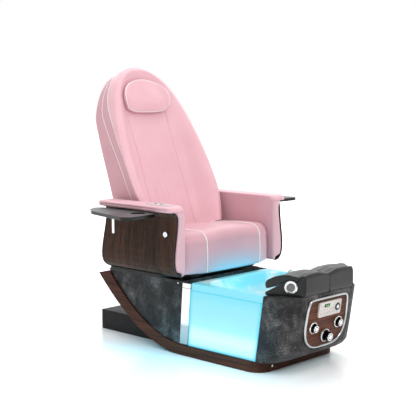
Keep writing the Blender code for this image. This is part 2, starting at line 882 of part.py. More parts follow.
def make_panel():
    panel = panel_frame_matrix()
    low = PANEL_STANDOFF
    frame = prism(panel_outline(0), low, low + FRAME_PROUD, panel, [panel_outline(FRAME_WIDTH)])
    bevel(place("panel_frame", frame, chrome), 0.003, 1, 60)
    board = prism(panel_outline(FRAME_WIDTH + GAP), low, low + PLATE_THICK, panel)
    plate = place("panel_plate", board, walnut)
    places = {
        "hot_knob": (-KNOB_ACROSS, -KNOB_DOWN, KNOB_RADIUS, KNOB_LENGTH),
        "cold_knob": (KNOB_ACROSS, -KNOB_DOWN, KNOB_RADIUS, KNOB_LENGTH),
        "diverter_knob": (0, -DIVERTER_DOWN, DIVERTER_RADIUS, DIVERTER_LENGTH),
    }
    valves = []
    for name, (across, up, radius, length) in places.items():
        knob(name, across, up, radius, length, chrome)
        ends = [panel @ Vector((across, up, out)) for out in (-0.03, 0.02)]
        cut(plate, rod(*ends, STEM_RADIUS + RUN, 16))
        body = [panel @ Vector((across, up, out)) for out in (-0.055, -0.020 - GAP)]
        seat = [panel @ Vector((across, up, out)) for out in (-0.022, PANEL_STANDOFF - GAP)]
        valves.append((body, seat))
    manifold = [
        panel @ Vector((across, up, -0.040))
        for across, up in ((-KNOB_ACROSS - 0.010, -KNOB_DOWN), (KNOB_ACROSS + 0.010, -KNOB_DOWN))
    ]
    fittings = place("valve_manifold", rod(*manifold, 0.010, 12), brass)
    drop = [panel @ Vector((0, up, -0.040)) for up in (-KNOB_DOWN, -DIVERTER_DOWN)]
    cut(fittings, rod(*drop, 0.009, 12), "UNION")
    for body, seat in valves:
        cut(fittings, rod(*body, 0.018, 12), "UNION")
        cut(fittings, rod(*seat, 0.012, 12), "UNION")
        cut(fittings, rod(body[1], seat[1] + (seat[1] - seat[0]), STEM_RADIUS + RUN, 16))
    make_keypad(panel)


def make_keypad(panel):
    base = PANEL_STANDOFF + PLATE_THICK + GAP
    half = KEYPAD_WIDTH / 2
    tall = KEYPAD_HEIGHT / 2
    outline = rounded(
        [
            (KEYPAD_X + half, KEYPAD_UP + tall, 0.005),
            (KEYPAD_X - half, KEYPAD_UP + tall, 0.005),
            (KEYPAD_X - half, KEYPAD_UP - tall, 0.005),
            (KEYPAD_X + half, KEYPAD_UP - tall, 0.005),
        ],
        2,
    )
    key_x = KEYPAD_X + half - KEY_RADIUS - KEY_MARGIN
    hole = arc((key_x, KEYPAD_UP), KEY_RADIUS + RUN, 0, 345, 23)
    case = place("keypad", prism(outline, base, base + KEYPAD_THICK, panel, [hole]), cream)
    left, right = DISPLAY_X - DISPLAY_WIDTH / 2, DISPLAY_X + DISPLAY_WIDTH / 2
    lower, upper = DISPLAY_UP - DISPLAY_HEIGHT / 2, DISPLAY_UP + DISPLAY_HEIGHT / 2
    window = [(right, upper), (left, upper), (left, lower), (right, lower)]
    cut(case, prism(window, base + KEYPAD_THICK - 0.001, base + KEYPAD_THICK + 0.01, panel))
    low = panel @ Vector((key_x, KEYPAD_UP, base + KEY_TRAVEL + 0.0005))
    high = panel @ Vector((key_x, KEYPAD_UP, base + KEYPAD_THICK + 0.003))
    button = place("keypad_button", rod(low, high, KEY_RADIUS), black_plastic, low)
    bevel(button, 0.001, 1, 60)


# ---------------------------------------------------------------- footrest and spout


def rest_plan(inset):
    """The footrest's outline in plan: straight in front, then swept back to the cheeks' tips."""
    half = REST_HALF - inset
    wide = REST_HALF + REST_SWEEP - inset
    return [
        (half, REST_FRONT - 0.02),
        (half, REST_FRONT + 0.004),
        (wide, REST_TIP - 0.012),
        (wide, REST_TIP + 0.05),
        (-wide, REST_TIP + 0.05),
        (-wide, REST_TIP - 0.012),
        (-half, REST_FRONT + 0.004),
        (-half, REST_FRONT - 0.02),
    ]


def rest_axis():
    return (REST_AXIS_Y, REST_AXIS_Z)


def make_footrest():
    low = RIM_Z + GAP
    centre = rest_axis()
    socket = arc(centre, REST_REACH + RUN, 118, 132, 2)
    boss = arc(centre, REST_BOSS, 132, 66, 7)
    base = (
        [(REST_FRONT + 0.004, low), (REST_FRONT, low + 0.020), (REST_FRONT, REST_TOP - 0.014)]
        + [(REST_FRONT + 0.005, REST_TOP - 0.004), (REST_FRONT + 0.014, REST_TOP)]
        + socket
        + boss
        + [(REST_TIP - 0.013, REST_LIP), (REST_TIP - 0.002, REST_LIP - 0.005), (REST_TIP, REST_LIP - 0.011)]
        + [(REST_TIP - 0.004, low)]
    )
    wide = REST_HALF + REST_SWEEP + 0.05
    stand = place("footrest_base", prism(base, -wide, wide, SIDE), black_leather)
    cut(stand, prism(rest_plan(0), 0, 1, PLAN), "INTERSECT")
    bore = REST_HALF + REST_SWEEP + 0.1
    cut(stand, rod((-bore, *centre), (bore, *centre), SHAFT_RADIUS + GAP, 16))
    pad = (
        arc(centre, REST_BOSS + 0.002, 66, 130, 6)
        + arc(centre, REST_REACH, 130, 92, 4)
        + [(-0.640, 0.4925), (-0.610, 0.4900), (-0.580, 0.4810), (-0.553, 0.4650)]
        + [(REST_TIP - 0.002, 0.4490), (REST_TIP, 0.4360)]
        + [(REST_TIP - 0.004, 0.4240), (REST_TIP - 0.011, REST_LIP + 0.012)]
    )
    for side, sign in (("left", 1), ("right", -1)):
        ends = sorted((sign * 0.001, sign * wide))
        rest = place(
            "footrest_pad_" + side, prism(pad, *ends, SIDE), black_leather, (sign * REST_HALF, *centre)
        )
        cut(rest, prism(rest_plan(0.001), 0, 1, PLAN), "INTERSECT")
    cheek = cheek_point()
    place(
        "footrest_shaft",
        rod((-cheek.x + 0.016, *centre), (cheek.x - 0.016, *centre), SHAFT_RADIUS, 16),
        steel,
    )
    for side, sign in (("left", 1), ("right", -1)):
        make_pivot_cap(side, sign)


def cheek_point():
    """Where the footrest's axis comes out of the slanted cheek."""
    front = Vector((REST_HALF, REST_FRONT + 0.004))
    tip = Vector((REST_HALF + REST_SWEEP, REST_TIP - 0.012))
    share = (REST_AXIS_Y - front.y) / (tip.y - front.y)
    return Vector((front.x + share * (tip.x - front.x), REST_AXIS_Y, REST_AXIS_Z))


def make_pivot_cap(side, sign):
    run = Vector((REST_SWEEP, REST_TIP - 0.016 - REST_FRONT))
    normal = Vector((run.y, -run.x, 0)).normalized()
    centre = cheek_point() + normal * GAP
    if sign < 0:
        normal.x = -normal.x
        centre.x = -centre.x
    inner = CAP_RADIUS * 0.72
    profile = [
        (0, 0.003),
        (inner, 0.003),
        (inner + 0.001, 0.006),
        (CAP_RADIUS - 0.003, 0.007),
        (CAP_RADIUS, 0.004),
        (CAP_RADIUS, 0),
        (0, 0),
    ]
    turned("pivot_cap_" + side, profile, chrome, centre, normal)


def make_spout():
    """A small bent filler pipe that swings over the tub."""
    curve = bpy.data.curves.new("spout", "CURVE")
    curve.dimensions = "3D"
    curve.bevel_depth = SPOUT_RADIUS
    curve.bevel_resolution = 2
    curve.use_fill_caps = True
    base = RIM_Z + GAP
    bend = SPOUT_REACH / 2
    path = [(SPOUT_Y, base + 0.004), (SPOUT_Y, base + SPOUT_HEIGHT - bend)]
    path += arc((SPOUT_Y + bend, base + SPOUT_HEIGHT - bend), bend, 165, 0, 8)
    path += [(SPOUT_Y + SPOUT_REACH, base + SPOUT_HEIGHT - bend - 0.008)]
    spline = curve.splines.new("POLY")
    spline.points.add(len(path) - 1)
    for point, (y, z) in zip(spline.points, path):
        point.co = (0, y, z, 1)
    drawn = bpy.data.objects.new("spout", curve)
    bpy.context.scene.collection.objects.link(drawn)
    graph = bpy.context.evaluated_depsgraph_get()
    mesh = bpy.data.meshes.new_from_object(drawn.evaluated_get(graph))
    bpy.data.objects.remove(drawn)
    build = bmesh.new()
    build.from_mesh(mesh)
    bmesh.ops.remove_doubles(build, verts=build.verts, dist=1e-5)
    pipe = place("spout", finish_mesh(build), chrome, (0, SPOUT_Y, base))
    foot = rod((0, SPOUT_Y, base), (0, SPOUT_Y, base + 0.010), 0.014, 16, 0.010)
    cut(pipe, foot, "UNION")


# ---------------------------------------------------------------- seat carriage


def plate_low():
    return DECK_Z + 2 * GAP + RAIL_HEIGHT + RUN + RUNNER_SHEET


def plate_top():
    return plate_low() + PLATE_HEIGHT


def make_rails():
    low = DECK_Z + GAP
    rails = []
    for x in (RAIL_X, -RAIL_X):
        half = RAIL_WIDTH / 2
        section = [
            (x - half, low),
            (x + half, low),
            (x + half, low + RAIL_HEIGHT),
            (x + half - RAIL_WALL, low + RAIL_HEIGHT),
            (x + half - RAIL_WALL, low + RAIL_WALL),
            (x - half + RAIL_WALL, low + RAIL_WALL),
            (x - half + RAIL_WALL, low + RAIL_HEIGHT),
            (x - half, low + RAIL_HEIGHT),
        ]
        rails.append(prism(section, -RAIL_REAR, -RAIL_FRONT, FRONT))
    frame = place("seat_rails", rails[0], steel)
    cut(frame, rails[1], "UNION")
    reach = RAIL_X - RAIL_WIDTH / 2 + RAIL_WALL / 2
    for y in (RAIL_FRONT + 0.030, RAIL_REAR - 0.060):
        cut(frame, box((-reach, y, low), (reach, y + 0.030, low + RAIL_WALL * 0.8)), "UNION")


def make_runners():
    """Two glide bars in the rails, joined by a thin sheet that passes over the rails' edges."""
    slide = RAIL_WIDTH / 2 - RAIL_WALL - RUN
    front, rear = RAIL_FRONT + 0.085, RAIL_REAR - 0.105
    bottom = DECK_Z + GAP + RAIL_WALL + RUN
    top = plate_low() - GAP
    reach = RAIL_X + slide
    sheet = box((-reach, front, top - RUNNER_SHEET), (reach, rear, top))
    runners = place("seat_runners", sheet, black_plastic)
    for x in (RAIL_X, -RAIL_X):
        bar = box((x - slide, front, bottom), (x + slide, rear, top - RUNNER_SHEET / 2))
        cut(runners, bar, "UNION")


def make_seat_plate():
    outline = rounded(
        [
            (PLATE_HALF, PLATE_FRONT, 0.020),
            (PLATE_HALF + 0.010, PLATE_FRONT + 0.075, 0.015),
            (WING_HALF, PLATE_FRONT + 0.090, 0.015),
            (WING_HALF, PLATE_REAR, 0.030),
            (-WING_HALF, PLATE_REAR, 0.030),
            (-WING_HALF, PLATE_FRONT + 0.090, 0.015),
            (-PLATE_HALF - 0.010, PLATE_FRONT + 0.075, 0.015),
            (-PLATE_HALF, PLATE_FRONT, 0.020),
        ],
        3,
    )
    plate = place("seat_plate", prism(outline, plate_low(), plate_top(), PLAN), black_plastic)
    bevel(plate, 0.003, 1, 60)


def seat_edge(x):
    """The seat cushion's front at a distance from the middle: a bowed panel between two wings."""
    x = abs(x)
    if x <= SEAT_PANEL_HALF:
        return SEAT_FRONT - 0.004 * (1 - (x / SEAT_PANEL_HALF) ** 2)
    share = (x - SEAT_PANEL_HALF) / (SEAT_HALF - SEAT_PANEL_HALF)
    return SEAT_FRONT + SEAT_WING_BACK * share


def seat_section(x, inset):
    """The closed outline of the cushion at one distance from the middle."""
    low = plate_top() + GAP
    front = seat_edge(x) + inset
    rear = SEAT_REAR - inset
    crown = SEAT_CROWN * (1 - (x / SEAT_HALF) ** 2)
    top = low + SEAT_THICK - SEAT_CROWN + crown - inset
    fall = SEAT_FALL

    def height(y):
        return top - 0.030 * max((y - SEAT_FRONT - 0.14) / (SEAT_REAR - SEAT_FRONT - 0.14), 0) ** 2

    points = [(front + 0.012, low), (front + 0.002, low + 0.006), (front + 0.003, low + 0.045)]
    points += [(front - 0.001, low + 0.090), (front, top - fall)]
    points += [
        (front + fall - fall * math.cos(math.radians(a)), top - fall + fall * math.sin(math.radians(a)))
        for a in (22, 45, 68, 90)
    ]
    first = front + fall
    points += [(y, height(y)) for y in spread(first, rear - 0.040, 6)[1:]]
    points += [(rear - 0.012, height(rear) - 0.012), (rear, height(rear) - 0.045), (rear, low + 0.020)]
    points += [(rear - 0.010, low)]
    return [(x, y, z) for y, z in points]


def make_seat_cushion():
    panel = SEAT_PANEL_HALF
    half = SEAT_HALF
    stations = [(0, 0), (0.075, 0), (0.150, 0), (panel - 0.006, 0), (panel, 0.004), (panel + 0.006, 0)]
    stations += [(0.255, 0), (half - 0.034, 0), (half - 0.012, 0.003), (half - 0.002, 0.012), (half, 0.022)]
    stations = [(-x, inset) for x, inset in reversed(stations)] + stations[1:]
    cushion = loft([seat_section(x, inset) for x, inset in stations])
    place("seat_cushion", cushion, pink_leather, sharp=60)


def skin_line():
    """The walnut skin's outer side in section, from under the flange down to the tucked-in foot."""
    top = ARM_TOP - FLANGE_THICK - GAP
    foot = plate_top() + 0.001
    belly = ARM_OUTER
    return [
        (belly - 0.0045, top + 0.005),
        (belly - 0.018, top - 0.012),
        (belly - 0.023, top - 0.028),
        (belly - 0.0225, top - 0.055),
        (belly - 0.0185, top - 0.095),
        (belly - 0.0105, top - 0.150),
        (belly - 0.0025, top - 0.205),
        (belly, foot + 0.085),
        (belly - 0.003, foot + 0.050),
        (belly - 0.012, foot + 0.024),
        (belly - 0.030, foot + 0.006),
        (belly - 0.052, foot),
    ]


def skin_x(z):
    line = sorted((height, x) for x, height in skin_line())
    return between(z, line)


def skin_ends(z):
    """Front and rear of the skin at a height, with its corners rounded."""
    top = skin_line()[0][1]
    foot = skin_line()[-1][1]
    front = ARM_FRONT + 0.005
    rear = ARM_REAR - 0.022 + 0.024 * (top - z) / (top - foot)

    def corner(reach):
        if reach >= SKIN_CORNER:
            return 0.0
        return SKIN_CORNER - math.sqrt(SKIN_CORNER**2 - (SKIN_CORNER - reach) ** 2)

    return front + corner(top - z), rear - 0.8 * corner(z - foot)


def make_arm_skin(side, sign):
    rows = []
    for x, z in skin_line():
        front, rear = skin_ends(z)
        rows.append([(sign * x, y, z) for y in spread(front, rear, 7)])
    if sign > 0:
        rows.reverse()
    skin = place("arm_panel_" + side, loft(rows, closed=False, capped=False), walnut)
    thicken(skin, SKIN_THICK, -1)
    top = ARM_TOP - FLANGE_THICK - GAP
    ends = sorted((0, sign * FLANGE_OUTER))
    cut(skin, box((ends[0], -1, top), (ends[1], 1, ARM_TOP)))


def arm_outline():
    top = ARM_TOP
    under = ARM_TOP - FLANGE_THICK
    foot = plate_top() + GAP
    skin = inset_line(skin_line(), -SKIN_THICK - 4 * GAP)
    share = (under - skin[1][1]) / (skin[0][1] - skin[1][1])
    skin[0] = (skin[1][0] + share * (skin[0][0] - skin[1][0]), under)
    skin[-1] = (skin[-1][0] - 0.004, skin[-1][1])
    skin.append((skin[-1][0], foot))
    return (
        [(ARM_INNER + 0.006, foot), (ARM_INNER, foot + 0.010), (ARM_INNER - 0.002, 0.52), (ARM_INNER, 0.64)]
        + [(ARM_INNER, top - 0.020), (ARM_INNER + 0.005, top - 0.006), (ARM_INNER + 0.018, top)]
        + [(FLANGE_OUTER - 0.010, top), (FLANGE_OUTER - 0.002, top - 0.004), (FLANGE_OUTER, top - 0.012)]
        + [(FLANGE_OUTER - 0.001, under + 0.005), (FLANGE_OUTER - 0.007, under)]
        + skin
    )


def rolled(z, y):
    """A height of the arm's outline, drawn down where the top rolls over the front."""
    depth = ARM_ROLL - (y - ARM_FRONT)
    if depth <= 0 or z <= ARM_ROLL_FROM:
        return z
    top = ARM_TOP - ARM_ROLL + math.sqrt(ARM_ROLL**2 - depth**2)
    return ARM_ROLL_FROM + (z - ARM_ROLL_FROM) * (top - ARM_ROLL_FROM) / (ARM_TOP - ARM_ROLL_FROM)


def make_arm_pad(side, sign):
    outline = arm_outline()
    middle_x = (ARM_INNER + ARM_OUTER) / 2
    middle_z = (ARM_TOP + plate_top()) / 2
    stations = [(ARM_FRONT + depth, wide, 1) for depth, wide in ARM_ROLL_STATIONS]
    stations += [(ARM_FRONT + 0.180, 1, 1), (ARM_REAR - 0.200, 1, 1), (ARM_REAR - 0.014, 1, 1)]
    stations += [(ARM_REAR - 0.004, 0.94, 0.988), (ARM_REAR, 0.84, 0.972)]
    foot = plate_top() + GAP
    sections = []
    for y, wide, tall in stations:
        sections.append(
            [
                (
                    sign * (middle_x + (x - middle_x) * wide),
                    y,
                    max(middle_z + (rolled(z, y) - middle_z) * tall, foot),
                )
                for x, z in outline
            ]
        )
    place("arm_pad_" + side, loft(sections), pink_leather, sharp=50)


def make_bolt_cap(side, sign):
    """A polished cup with a dark hexagon socket that holds the walnut panel."""
    x = max(skin_x(BOLT_CAP_Z - BOLT_CAP_RADIUS), skin_x(BOLT_CAP_Z + BOLT_CAP_RADIUS)) + GAP
    profile = [
        (0, 0.0035),
        (BOLT_CAP_RADIUS * 0.6, 0.0045),
        (BOLT_CAP_RADIUS - 0.001, 0.004),
        (BOLT_CAP_RADIUS, 0.0025),
        (BOLT_CAP_RADIUS, 0),
        (0, 0),
    ]
    cap = turned(
        "bolt_cap_" + side, profile, chrome, (sign * x, BOLT_CAP_Y, BOLT_CAP_Z), (sign, 0, 0), 20
    )
    socket = [(sign * (x + depth), BOLT_CAP_Y, BOLT_CAP_Z) for depth in (0.0015, 0.0200)]
    cut(cap, rod(*socket, 0.005, 6))


def tray_outline():
    return rounded(
        [
            (0.463, 0.022, 0.012),
            (0.682, 0.000, 0.040),
            (0.600, 0.352, 0.050),
            (0.548, 0.424, 0.030),
            (0.480, 0.464, 0.014),
            (0.452, 0.432, 0.020),
            (0.427, 0.345, 0.020),
            (0.437, 0.160, 0.060),
        ],
        4,
    )


def make_tray(side, sign):
    low = TRAY_TOP - TRAY_THICK
    cup = sided(arc((CUP_X, CUP_Y), CUP_RADIUS, 0, 345, 23), sign)
    mesh = prism(sided(tray_outline(), sign), low, TRAY_TOP, PLAN, [cup])
    tray = place("tray_" + side, mesh, grey_plastic, (sign * POST_X, POST_Y, low))
    bevel(tray, 0.0035, 1, 60)
    flange = low - GAP
    profile = [
        (0, flange),
        (0.022, flange),
        (0.022, flange - 0.003),
        (POST_RADIUS, flange - 0.005),
        (POST_RADIUS, POST_BOTTOM + 0.003),
        (POST_RADIUS - 0.003, POST_BOTTOM),
        (0, POST_BOTTOM),
    ]
    turned("tray_post_" + side, profile, chrome, (sign * POST_X, POST_Y, 0), steps=16)
    high = flange - 0.005 - RUN
    bottom = high - BRACKET_THICK
    wall = max(skin_x(bottom), skin_x(high), skin_x((bottom + high) / 2)) + GAP
    outline = [(wall, POST_Y - 0.020), (POST_X, POST_Y - 0.017)]
    outline += arc((POST_X, POST_Y), 0.017, -70, 70, 6)
    outline += [(POST_X, POST_Y + 0.017), (wall, POST_Y + 0.020)]
    bore = sided(arc((POST_X, POST_Y), POST_RADIUS + RUN, 0, 337.5, 15), sign)
    bracket = prism(sided(outline, sign), bottom, high, PLAN, [bore])
    place("tray_bracket_" + side, bracket, steel)


def ellipse(centre, length, width, steps=28):
    return [
        (
            centre[0] + width / 2 * math.cos(2 * math.pi * k / steps),
            centre[1] + length / 2 * math.sin(2 * math.pi * k / steps),
        )
        for k in range(steps)
    ]


def make_arm_control():
    """An oval control plate on the right arm, with one key for the slide and one for the recline."""
    x = -(ARM_INNER + FLANGE_OUTER) / 2
    low = ARM_TOP + GAP
    centre = (x, CONTROL_Y)
    holes = []
    for name, y in (("slide_key", CONTROL_Y - 0.022), ("recline_key", CONTROL_Y + 0.022)):
        holes.append(ellipse((x, y), BUTTON_LENGTH + 2 * RUN, BUTTON_WIDTH + 2 * RUN, 16))
        top = low + CONTROL_THICK + BUTTON_PROUD
        mesh = prism(
            ellipse((x, y), BUTTON_LENGTH, BUTTON_WIDTH, 16), low + KEY_TRAVEL + RUN, top, PLAN
        )
        place(name, mesh, grey_plastic, (x, y, top))
    plate = prism(
        ellipse(centre, CONTROL_LENGTH, CONTROL_WIDTH), low, low + CONTROL_THICK, PLAN, holes
    )
    bevel(place("arm_control", plate, silver), 0.0012, 1, 60)


# ---------------------------------------------------------------- backrest


def back_half(s):
    """Half width of the backrest at a distance up from the recline axis."""
    if s < BACK_SHOULDER:
        return BACK_HALF - BACK_NARROW * ((BACK_SHOULDER - s) / (BACK_SHOULDER - BACK_BOTTOM)) ** 2
    u = min((s - BACK_SHOULDER) / (BACK_TOP - BACK_SHOULDER), 0.9996)
    return BACK_HALF * math.sqrt(1 - u * u)


def back_levels():
    low = spread(BACK_BOTTOM, BACK_SHOULDER, 6)[:-1]
    high = [
        BACK_SHOULDER + (BACK_TOP - BACK_SHOULDER) * math.sin(math.radians(a))
        for a in (0, 12, 24, 35, 45, 54, 62, 69, 75, 80, 84, 87, 88.8)
    ]
    return low + high


def radial(x, s):
    """0 on the middle line and 1 on the outline, which the dished front follows."""
    u = max((s - BACK_SHOULDER) / (BACK_TOP - BACK_SHOULDER), 0)
    side = abs(x) / back_half(s)
    return min((side**4 + u**12) ** 0.25, 1.0)


def above(s):
    """Distance up from where the bolsters start to thin out."""
    return max(s - CREST_FROM, 0)


def crest_height(s):
    return CREST - CREST_LOSS * above(s)


def front_height(x, s):
    """How far the cushion's front stands out of the flat middle panel."""
    r = radial(x, s)
    lift = crest_height(s) * smooth((r - CREST_START) / (CREST_AT - CREST_START))
    if r > CREST_AT:
        lift -= CREST_TURN * ((r - CREST_AT) / (1 - CREST_AT)) ** 2
    return lift - channel(x, s)


def channel(x, s):
    """Depth of the sewn channels: two long seams and a fan of fine ones low down."""
    depth = 0.0
    if s < SEAM_TOP and abs(abs(x) - seam_at(s)) < CHANNEL_HALF * 0.5:
        depth = CHANNEL_DEPTH
    for k in range(-2, 3):
        if abs(x - fan_at(k, s)) < CHANNEL_HALF * 0.3 and s < FAN_TOP - FAN_DROP * abs(k):
            depth = CHANNEL_DEPTH * 0.6
    return depth


def seam_at(s):
    return PANEL_SEAM * min(1.0, back_half(s) / (0.8 * BACK_HALF))


def fan_at(k, s):
    return k * FAN_PITCH * seam_at(s) / PANEL_SEAM


def layer_height(x, s, edge, middle):
    """A seam surface between layers: straight from a low middle to its edge height."""
    r = radial(x, s)
    return middle + (edge - middle) * between(r, SEAM_KNOTS)


def rear_height(x, s):
    """The rear shell's back: nearly flat, with its sides turned forward a little."""
    middle = between(s, BACK_MIDDLE)
    turn = smooth((radial(x, s) - BACK_EDGE_FROM) / (1 - BACK_EDGE_FROM))
    return middle + (between(s, BACK_EDGE) - middle) * turn


KNOTS = (-1, -0.8, -0.5, 0, 0.5, 0.8, 1)


def knot_places(s, inset):
    half = back_half(s) - inset
    return [k * half for k in KNOTS]


def front_places(s, inset):
    half = back_half(s) - inset
    seam = seam_at(s)
    wide = CHANNEL_HALF * seam / PANEL_SEAM
    right = []
    for k in (0, 1, 2):
        middle = fan_at(k, s)
        right += [middle - wide, middle, middle + wide] if k else [middle, middle + wide]
    right += [seam - wide, seam, seam + wide]
    right += [seam + (half - seam) * share for share in (0.25, 0.48, 0.70, 0.88, 1.0)]
    return [-x for x in reversed(right)][:-1] + right


def layer_section(s, front, rear, front_at, rear_at, inset):
    """The closed outline of one layer at a level: front, edge, back, edge."""
    half = back_half(s)
    ahead = [(x, front(x, s)) for x in front_at(s, min(inset, half * 0.3))]
    behind = [(x, rear(x, s)) for x in rear_at(s, min(inset, half * 0.3))][::-1]
    high, low = ahead[-1][1], behind[0][1]
    bulge = min(inset, half * 0.3)
    edge = [
        (half - bulge * (1 - out), high + (low - high) * share)
        for share, out in ((0.14, 0.72), (0.5, 1.0), (0.86, 0.72))
    ]
    other = [(-x, n) for x, n in reversed(edge)]
    return [(x, -n - BACK_FACE, s) for x, n in ahead + edge + behind + other]


def back_layer(name, front, rear, front_at, rear_at, inset, finish):
    sections = [
        layer_section(s, front, rear, front_at, rear_at, inset) for s in back_levels()
    ]
    made = place(name, loft(sections, split=True), finish, sharp=55)
    made.parent = recline
    return made


def make_backrest():
    def front_seam(x, s):
        return layer_height(x, s, between(s, FRONT_SEAM_EDGE), FRONT_SEAM_MIDDLE)

    def rear_seam(x, s):
        return layer_height(x, s, between(s, REAR_SEAM_EDGE), REAR_SEAM_MIDDLE)

    def behind(surface):
        return lambda x, s: surface(x, s) - LAYER_GAP

    back_layer(
        "back_cushion", front_height, front_seam, front_places, knot_places, 0.010, pink_leather
    )
    back_layer(
        "back_core", behind(front_seam), rear_seam, knot_places, knot_places, 0.010, pink_leather
    )
    back_layer(
        "back_shell", behind(rear_seam), rear_height, knot_places, knot_places, 0.010, pink_leather
    )


def pillow_half(share):
    """Half width of the pillow from its flat foot (0) to its domed top (1)."""
    if share < 0.35:
        return PILLOW_HALF * (1 - 0.16 * (1 - share / 0.35) ** 2.2)
    return PILLOW_HALF * (1 - ((share - 0.35) / 0.65) ** 2.4) ** 0.5


def make_headrest():
    """A crowned pillow, flat below and domed above, that lies in the dished front."""
    sections = []
    shares = (0.0, 0.03, 0.10, 0.22, 0.38, 0.54, 0.68, 0.80, 0.90, 0.97, 0.996)
    for share in shares:
        s = PILLOW_LOW + (PILLOW_HIGH - PILLOW_LOW) * share
        half = pillow_half(share)
        rim = min(1.0, math.sin(math.pi * min(max(share, 0.012), 0.988)) ** 0.35)
        points = []
        behind = []
        for f in (-1, -0.94, -0.78, -0.5, -0.2, 0.2, 0.5, 0.78, 0.94, 1):
            x = f * half
            seat = front_height(x, s)
            swell = (1 - abs(f) ** 3.2) ** 0.5 if abs(f) < 1 else 0.0
            front = 0.012 + (PILLOW_THICK - 0.012) * swell * rim
            points.append((x, -(seat + front) - BACK_FACE, s))
            behind.append((x * 0.985, PILLOW_BED - seat - BACK_FACE, s))
        sections.append(points + behind[::-1])
    pillow = place("headrest", loft(sections), pink_leather, sharp=60)
    pillow.parent = recline

    def ahead(x, s):
        return front_height(x, s) + 2 * GAP

    def deep(x, s):
        return -BACK_THICK

    bed = [layer_section(s, ahead, deep, front_places, knot_places, 0.010) for s in back_levels()]
    cut(pillow, loft(bed, split=True)).modifiers[-1].object.parent = recline


def make_hinge():
    """The recline hinge: a shaft in a carriage bracket, a yoke under the backrest, and a gear motor."""
    centre = (AXIS_Y, AXIS_Z)
    low = plate_top() + GAP
    foot = low + HINGE_PLATE / 2
    cheek = [(AXIS_Y + 0.030, low), (AXIS_Y + 0.030, foot + 0.004)]
    cheek += arc(centre, 0.018, 0, 180, 8)
    cheek += [(AXIS_Y - 0.030, foot + 0.004), (AXIS_Y - 0.030, low)]
    bore = arc(centre, HINGE_SHAFT + RUN, 0, 337.5, 15)
    out = HINGE_X + HINGE_PLATE
    base = box((-out, AXIS_Y - 0.030, low), (out, AXIS_Y + 0.030, foot))
    bracket = place("hinge_bracket", base, steel)
    for sign in (-1, 1):
        ends = sorted((sign * HINGE_X, sign * out))
        cut(bracket, prism(cheek, *ends, SIDE, [bore]), "UNION")
    reach = out + 0.006
    shaft = rod((-reach, 0, 0), (reach, 0, 0), HINGE_SHAFT, 16)
    place("recline_shaft", shaft, steel).parent = recline
    half = MOTOR_LENGTH / 2
    casing = rod((-half, *centre), (half, *centre), MOTOR_RADIUS)
    motor = place("recline_motor", casing, black_plastic)
    block = box((0.010 - half, AXIS_Y - 0.02, foot + GAP), (half - 0.010, AXIS_Y + 0.02, AXIS_Z))
    cut(motor, block, "UNION")
    cut(motor, rod((-0.2, *centre), (0.2, *centre), HINGE_SHAFT + RUN, 16))
    top = BACK_BOTTOM - GAP
    inner = HINGE_X - RUN
    yoke = place(
        "hinge_yoke", box((-inner, -0.050, top - HINGE_PLATE), (inner, 0.020, top)), steel
    )
    yoke.parent = recline
    arm = arc((0, 0), 0.020, 180, 360, 8)
    arm += [(0.019, top - HINGE_PLATE / 2), (-0.049, top - HINGE_PLATE / 2), (-0.020, 0.050)]
    hole = arc((0, 0), HINGE_SHAFT + GAP, 0, 337.5, 15)
    for sign in (-1, 1):
        ends = sorted((sign * inner, sign * (inner - HINGE_PLATE)))
        tool = cut(yoke, prism(arm, *ends, SIDE, [hole]), "UNION").modifiers[-1].object
        tool.parent = recline


def make_inner_works():
    """What the base hides: the slide motor under the deck and the water pump on the sled."""
    under = DECK_Z - SHELL_WALL - GAP
    motor = place("slide_motor", box((-0.05, 0.24, under - 0.055), (0.05, 0.34, under)), black_plastic)
    bevel(motor, 0.004, 1, 60)
    facets = [(y, sled_top(y)) for y in spread(0, SLED_TOP_REAR, SLED_STEPS)]
    low = between(PUMP_Y + PUMP_RADIUS, facets) + GAP
    high = low + PUMP_RADIUS + 0.010
    ends = [(x, PUMP_Y, high) for x in (-0.060, 0.060)]
    pump = place("water_pump", rod(*ends, PUMP_RADIUS), steel)
    foot = box((-0.050, PUMP_Y - PUMP_RADIUS, low), (0.050, PUMP_Y + PUMP_RADIUS, low + 0.020))
    cut(pump, foot, "UNION")


def empty(name, location, turn=0.0):
    made = bpy.data.objects.new(name, None)
    made.empty_display_size = 0.05
    made.location = location
    made.rotation_euler = (turn, 0, 0)
    parts.objects.link(made)
    return made


def settle():
    """Stands the origin under the middle of the chair's length."""
    for made in (*parts.objects, *cutters.objects):
        if made.parent is None:
            made.location.y -= LENGTH_SHIFT


clear_scene()
parts = new_collection("pedicure_spa_chair")
cutters = new_collection("cutters")
pink_leather = material("pink_leather", (0.78, 0.42, 0.46), 0.5)
black_leather = material("black_leather", (0.03, 0.03, 0.033), 0.45)
walnut = material("walnut", (0.09, 0.045, 0.03), 0.45)
stone = material("stone_resin", (0.06, 0.06, 0.063), 0.6)
black_plastic = material("black_plastic", (0.02, 0.02, 0.02), 0.5)
grey_plastic = material("grey_plastic", (0.11, 0.115, 0.12), 0.35)
white_plastic = material("white_plastic", (0.8, 0.8, 0.8), 0.4)
cream = material("cream_plastic", (0.75, 0.70, 0.66), 0.4)
silver = material("silver", (0.6, 0.63, 0.66), 0.3, 0.8)
chrome = material("chrome", (0.85, 0.85, 0.86), 0.12, 1.0)
steel = material("steel", (0.5, 0.5, 0.52), 0.35, 1.0)
brass = material("brass", (0.7, 0.5, 0.2), 0.35, 1.0)
glow_shell = material("lit_acrylic", (0.35, 0.83, 0.9), 0.2, 0.0, 0.4)
light = material("light_strip", (0.3, 0.85, 1.0), 0.3, 0.0, 3.0)

recline = empty("recline_axis", (0, AXIS_Y, AXIS_Z), -LEAN)

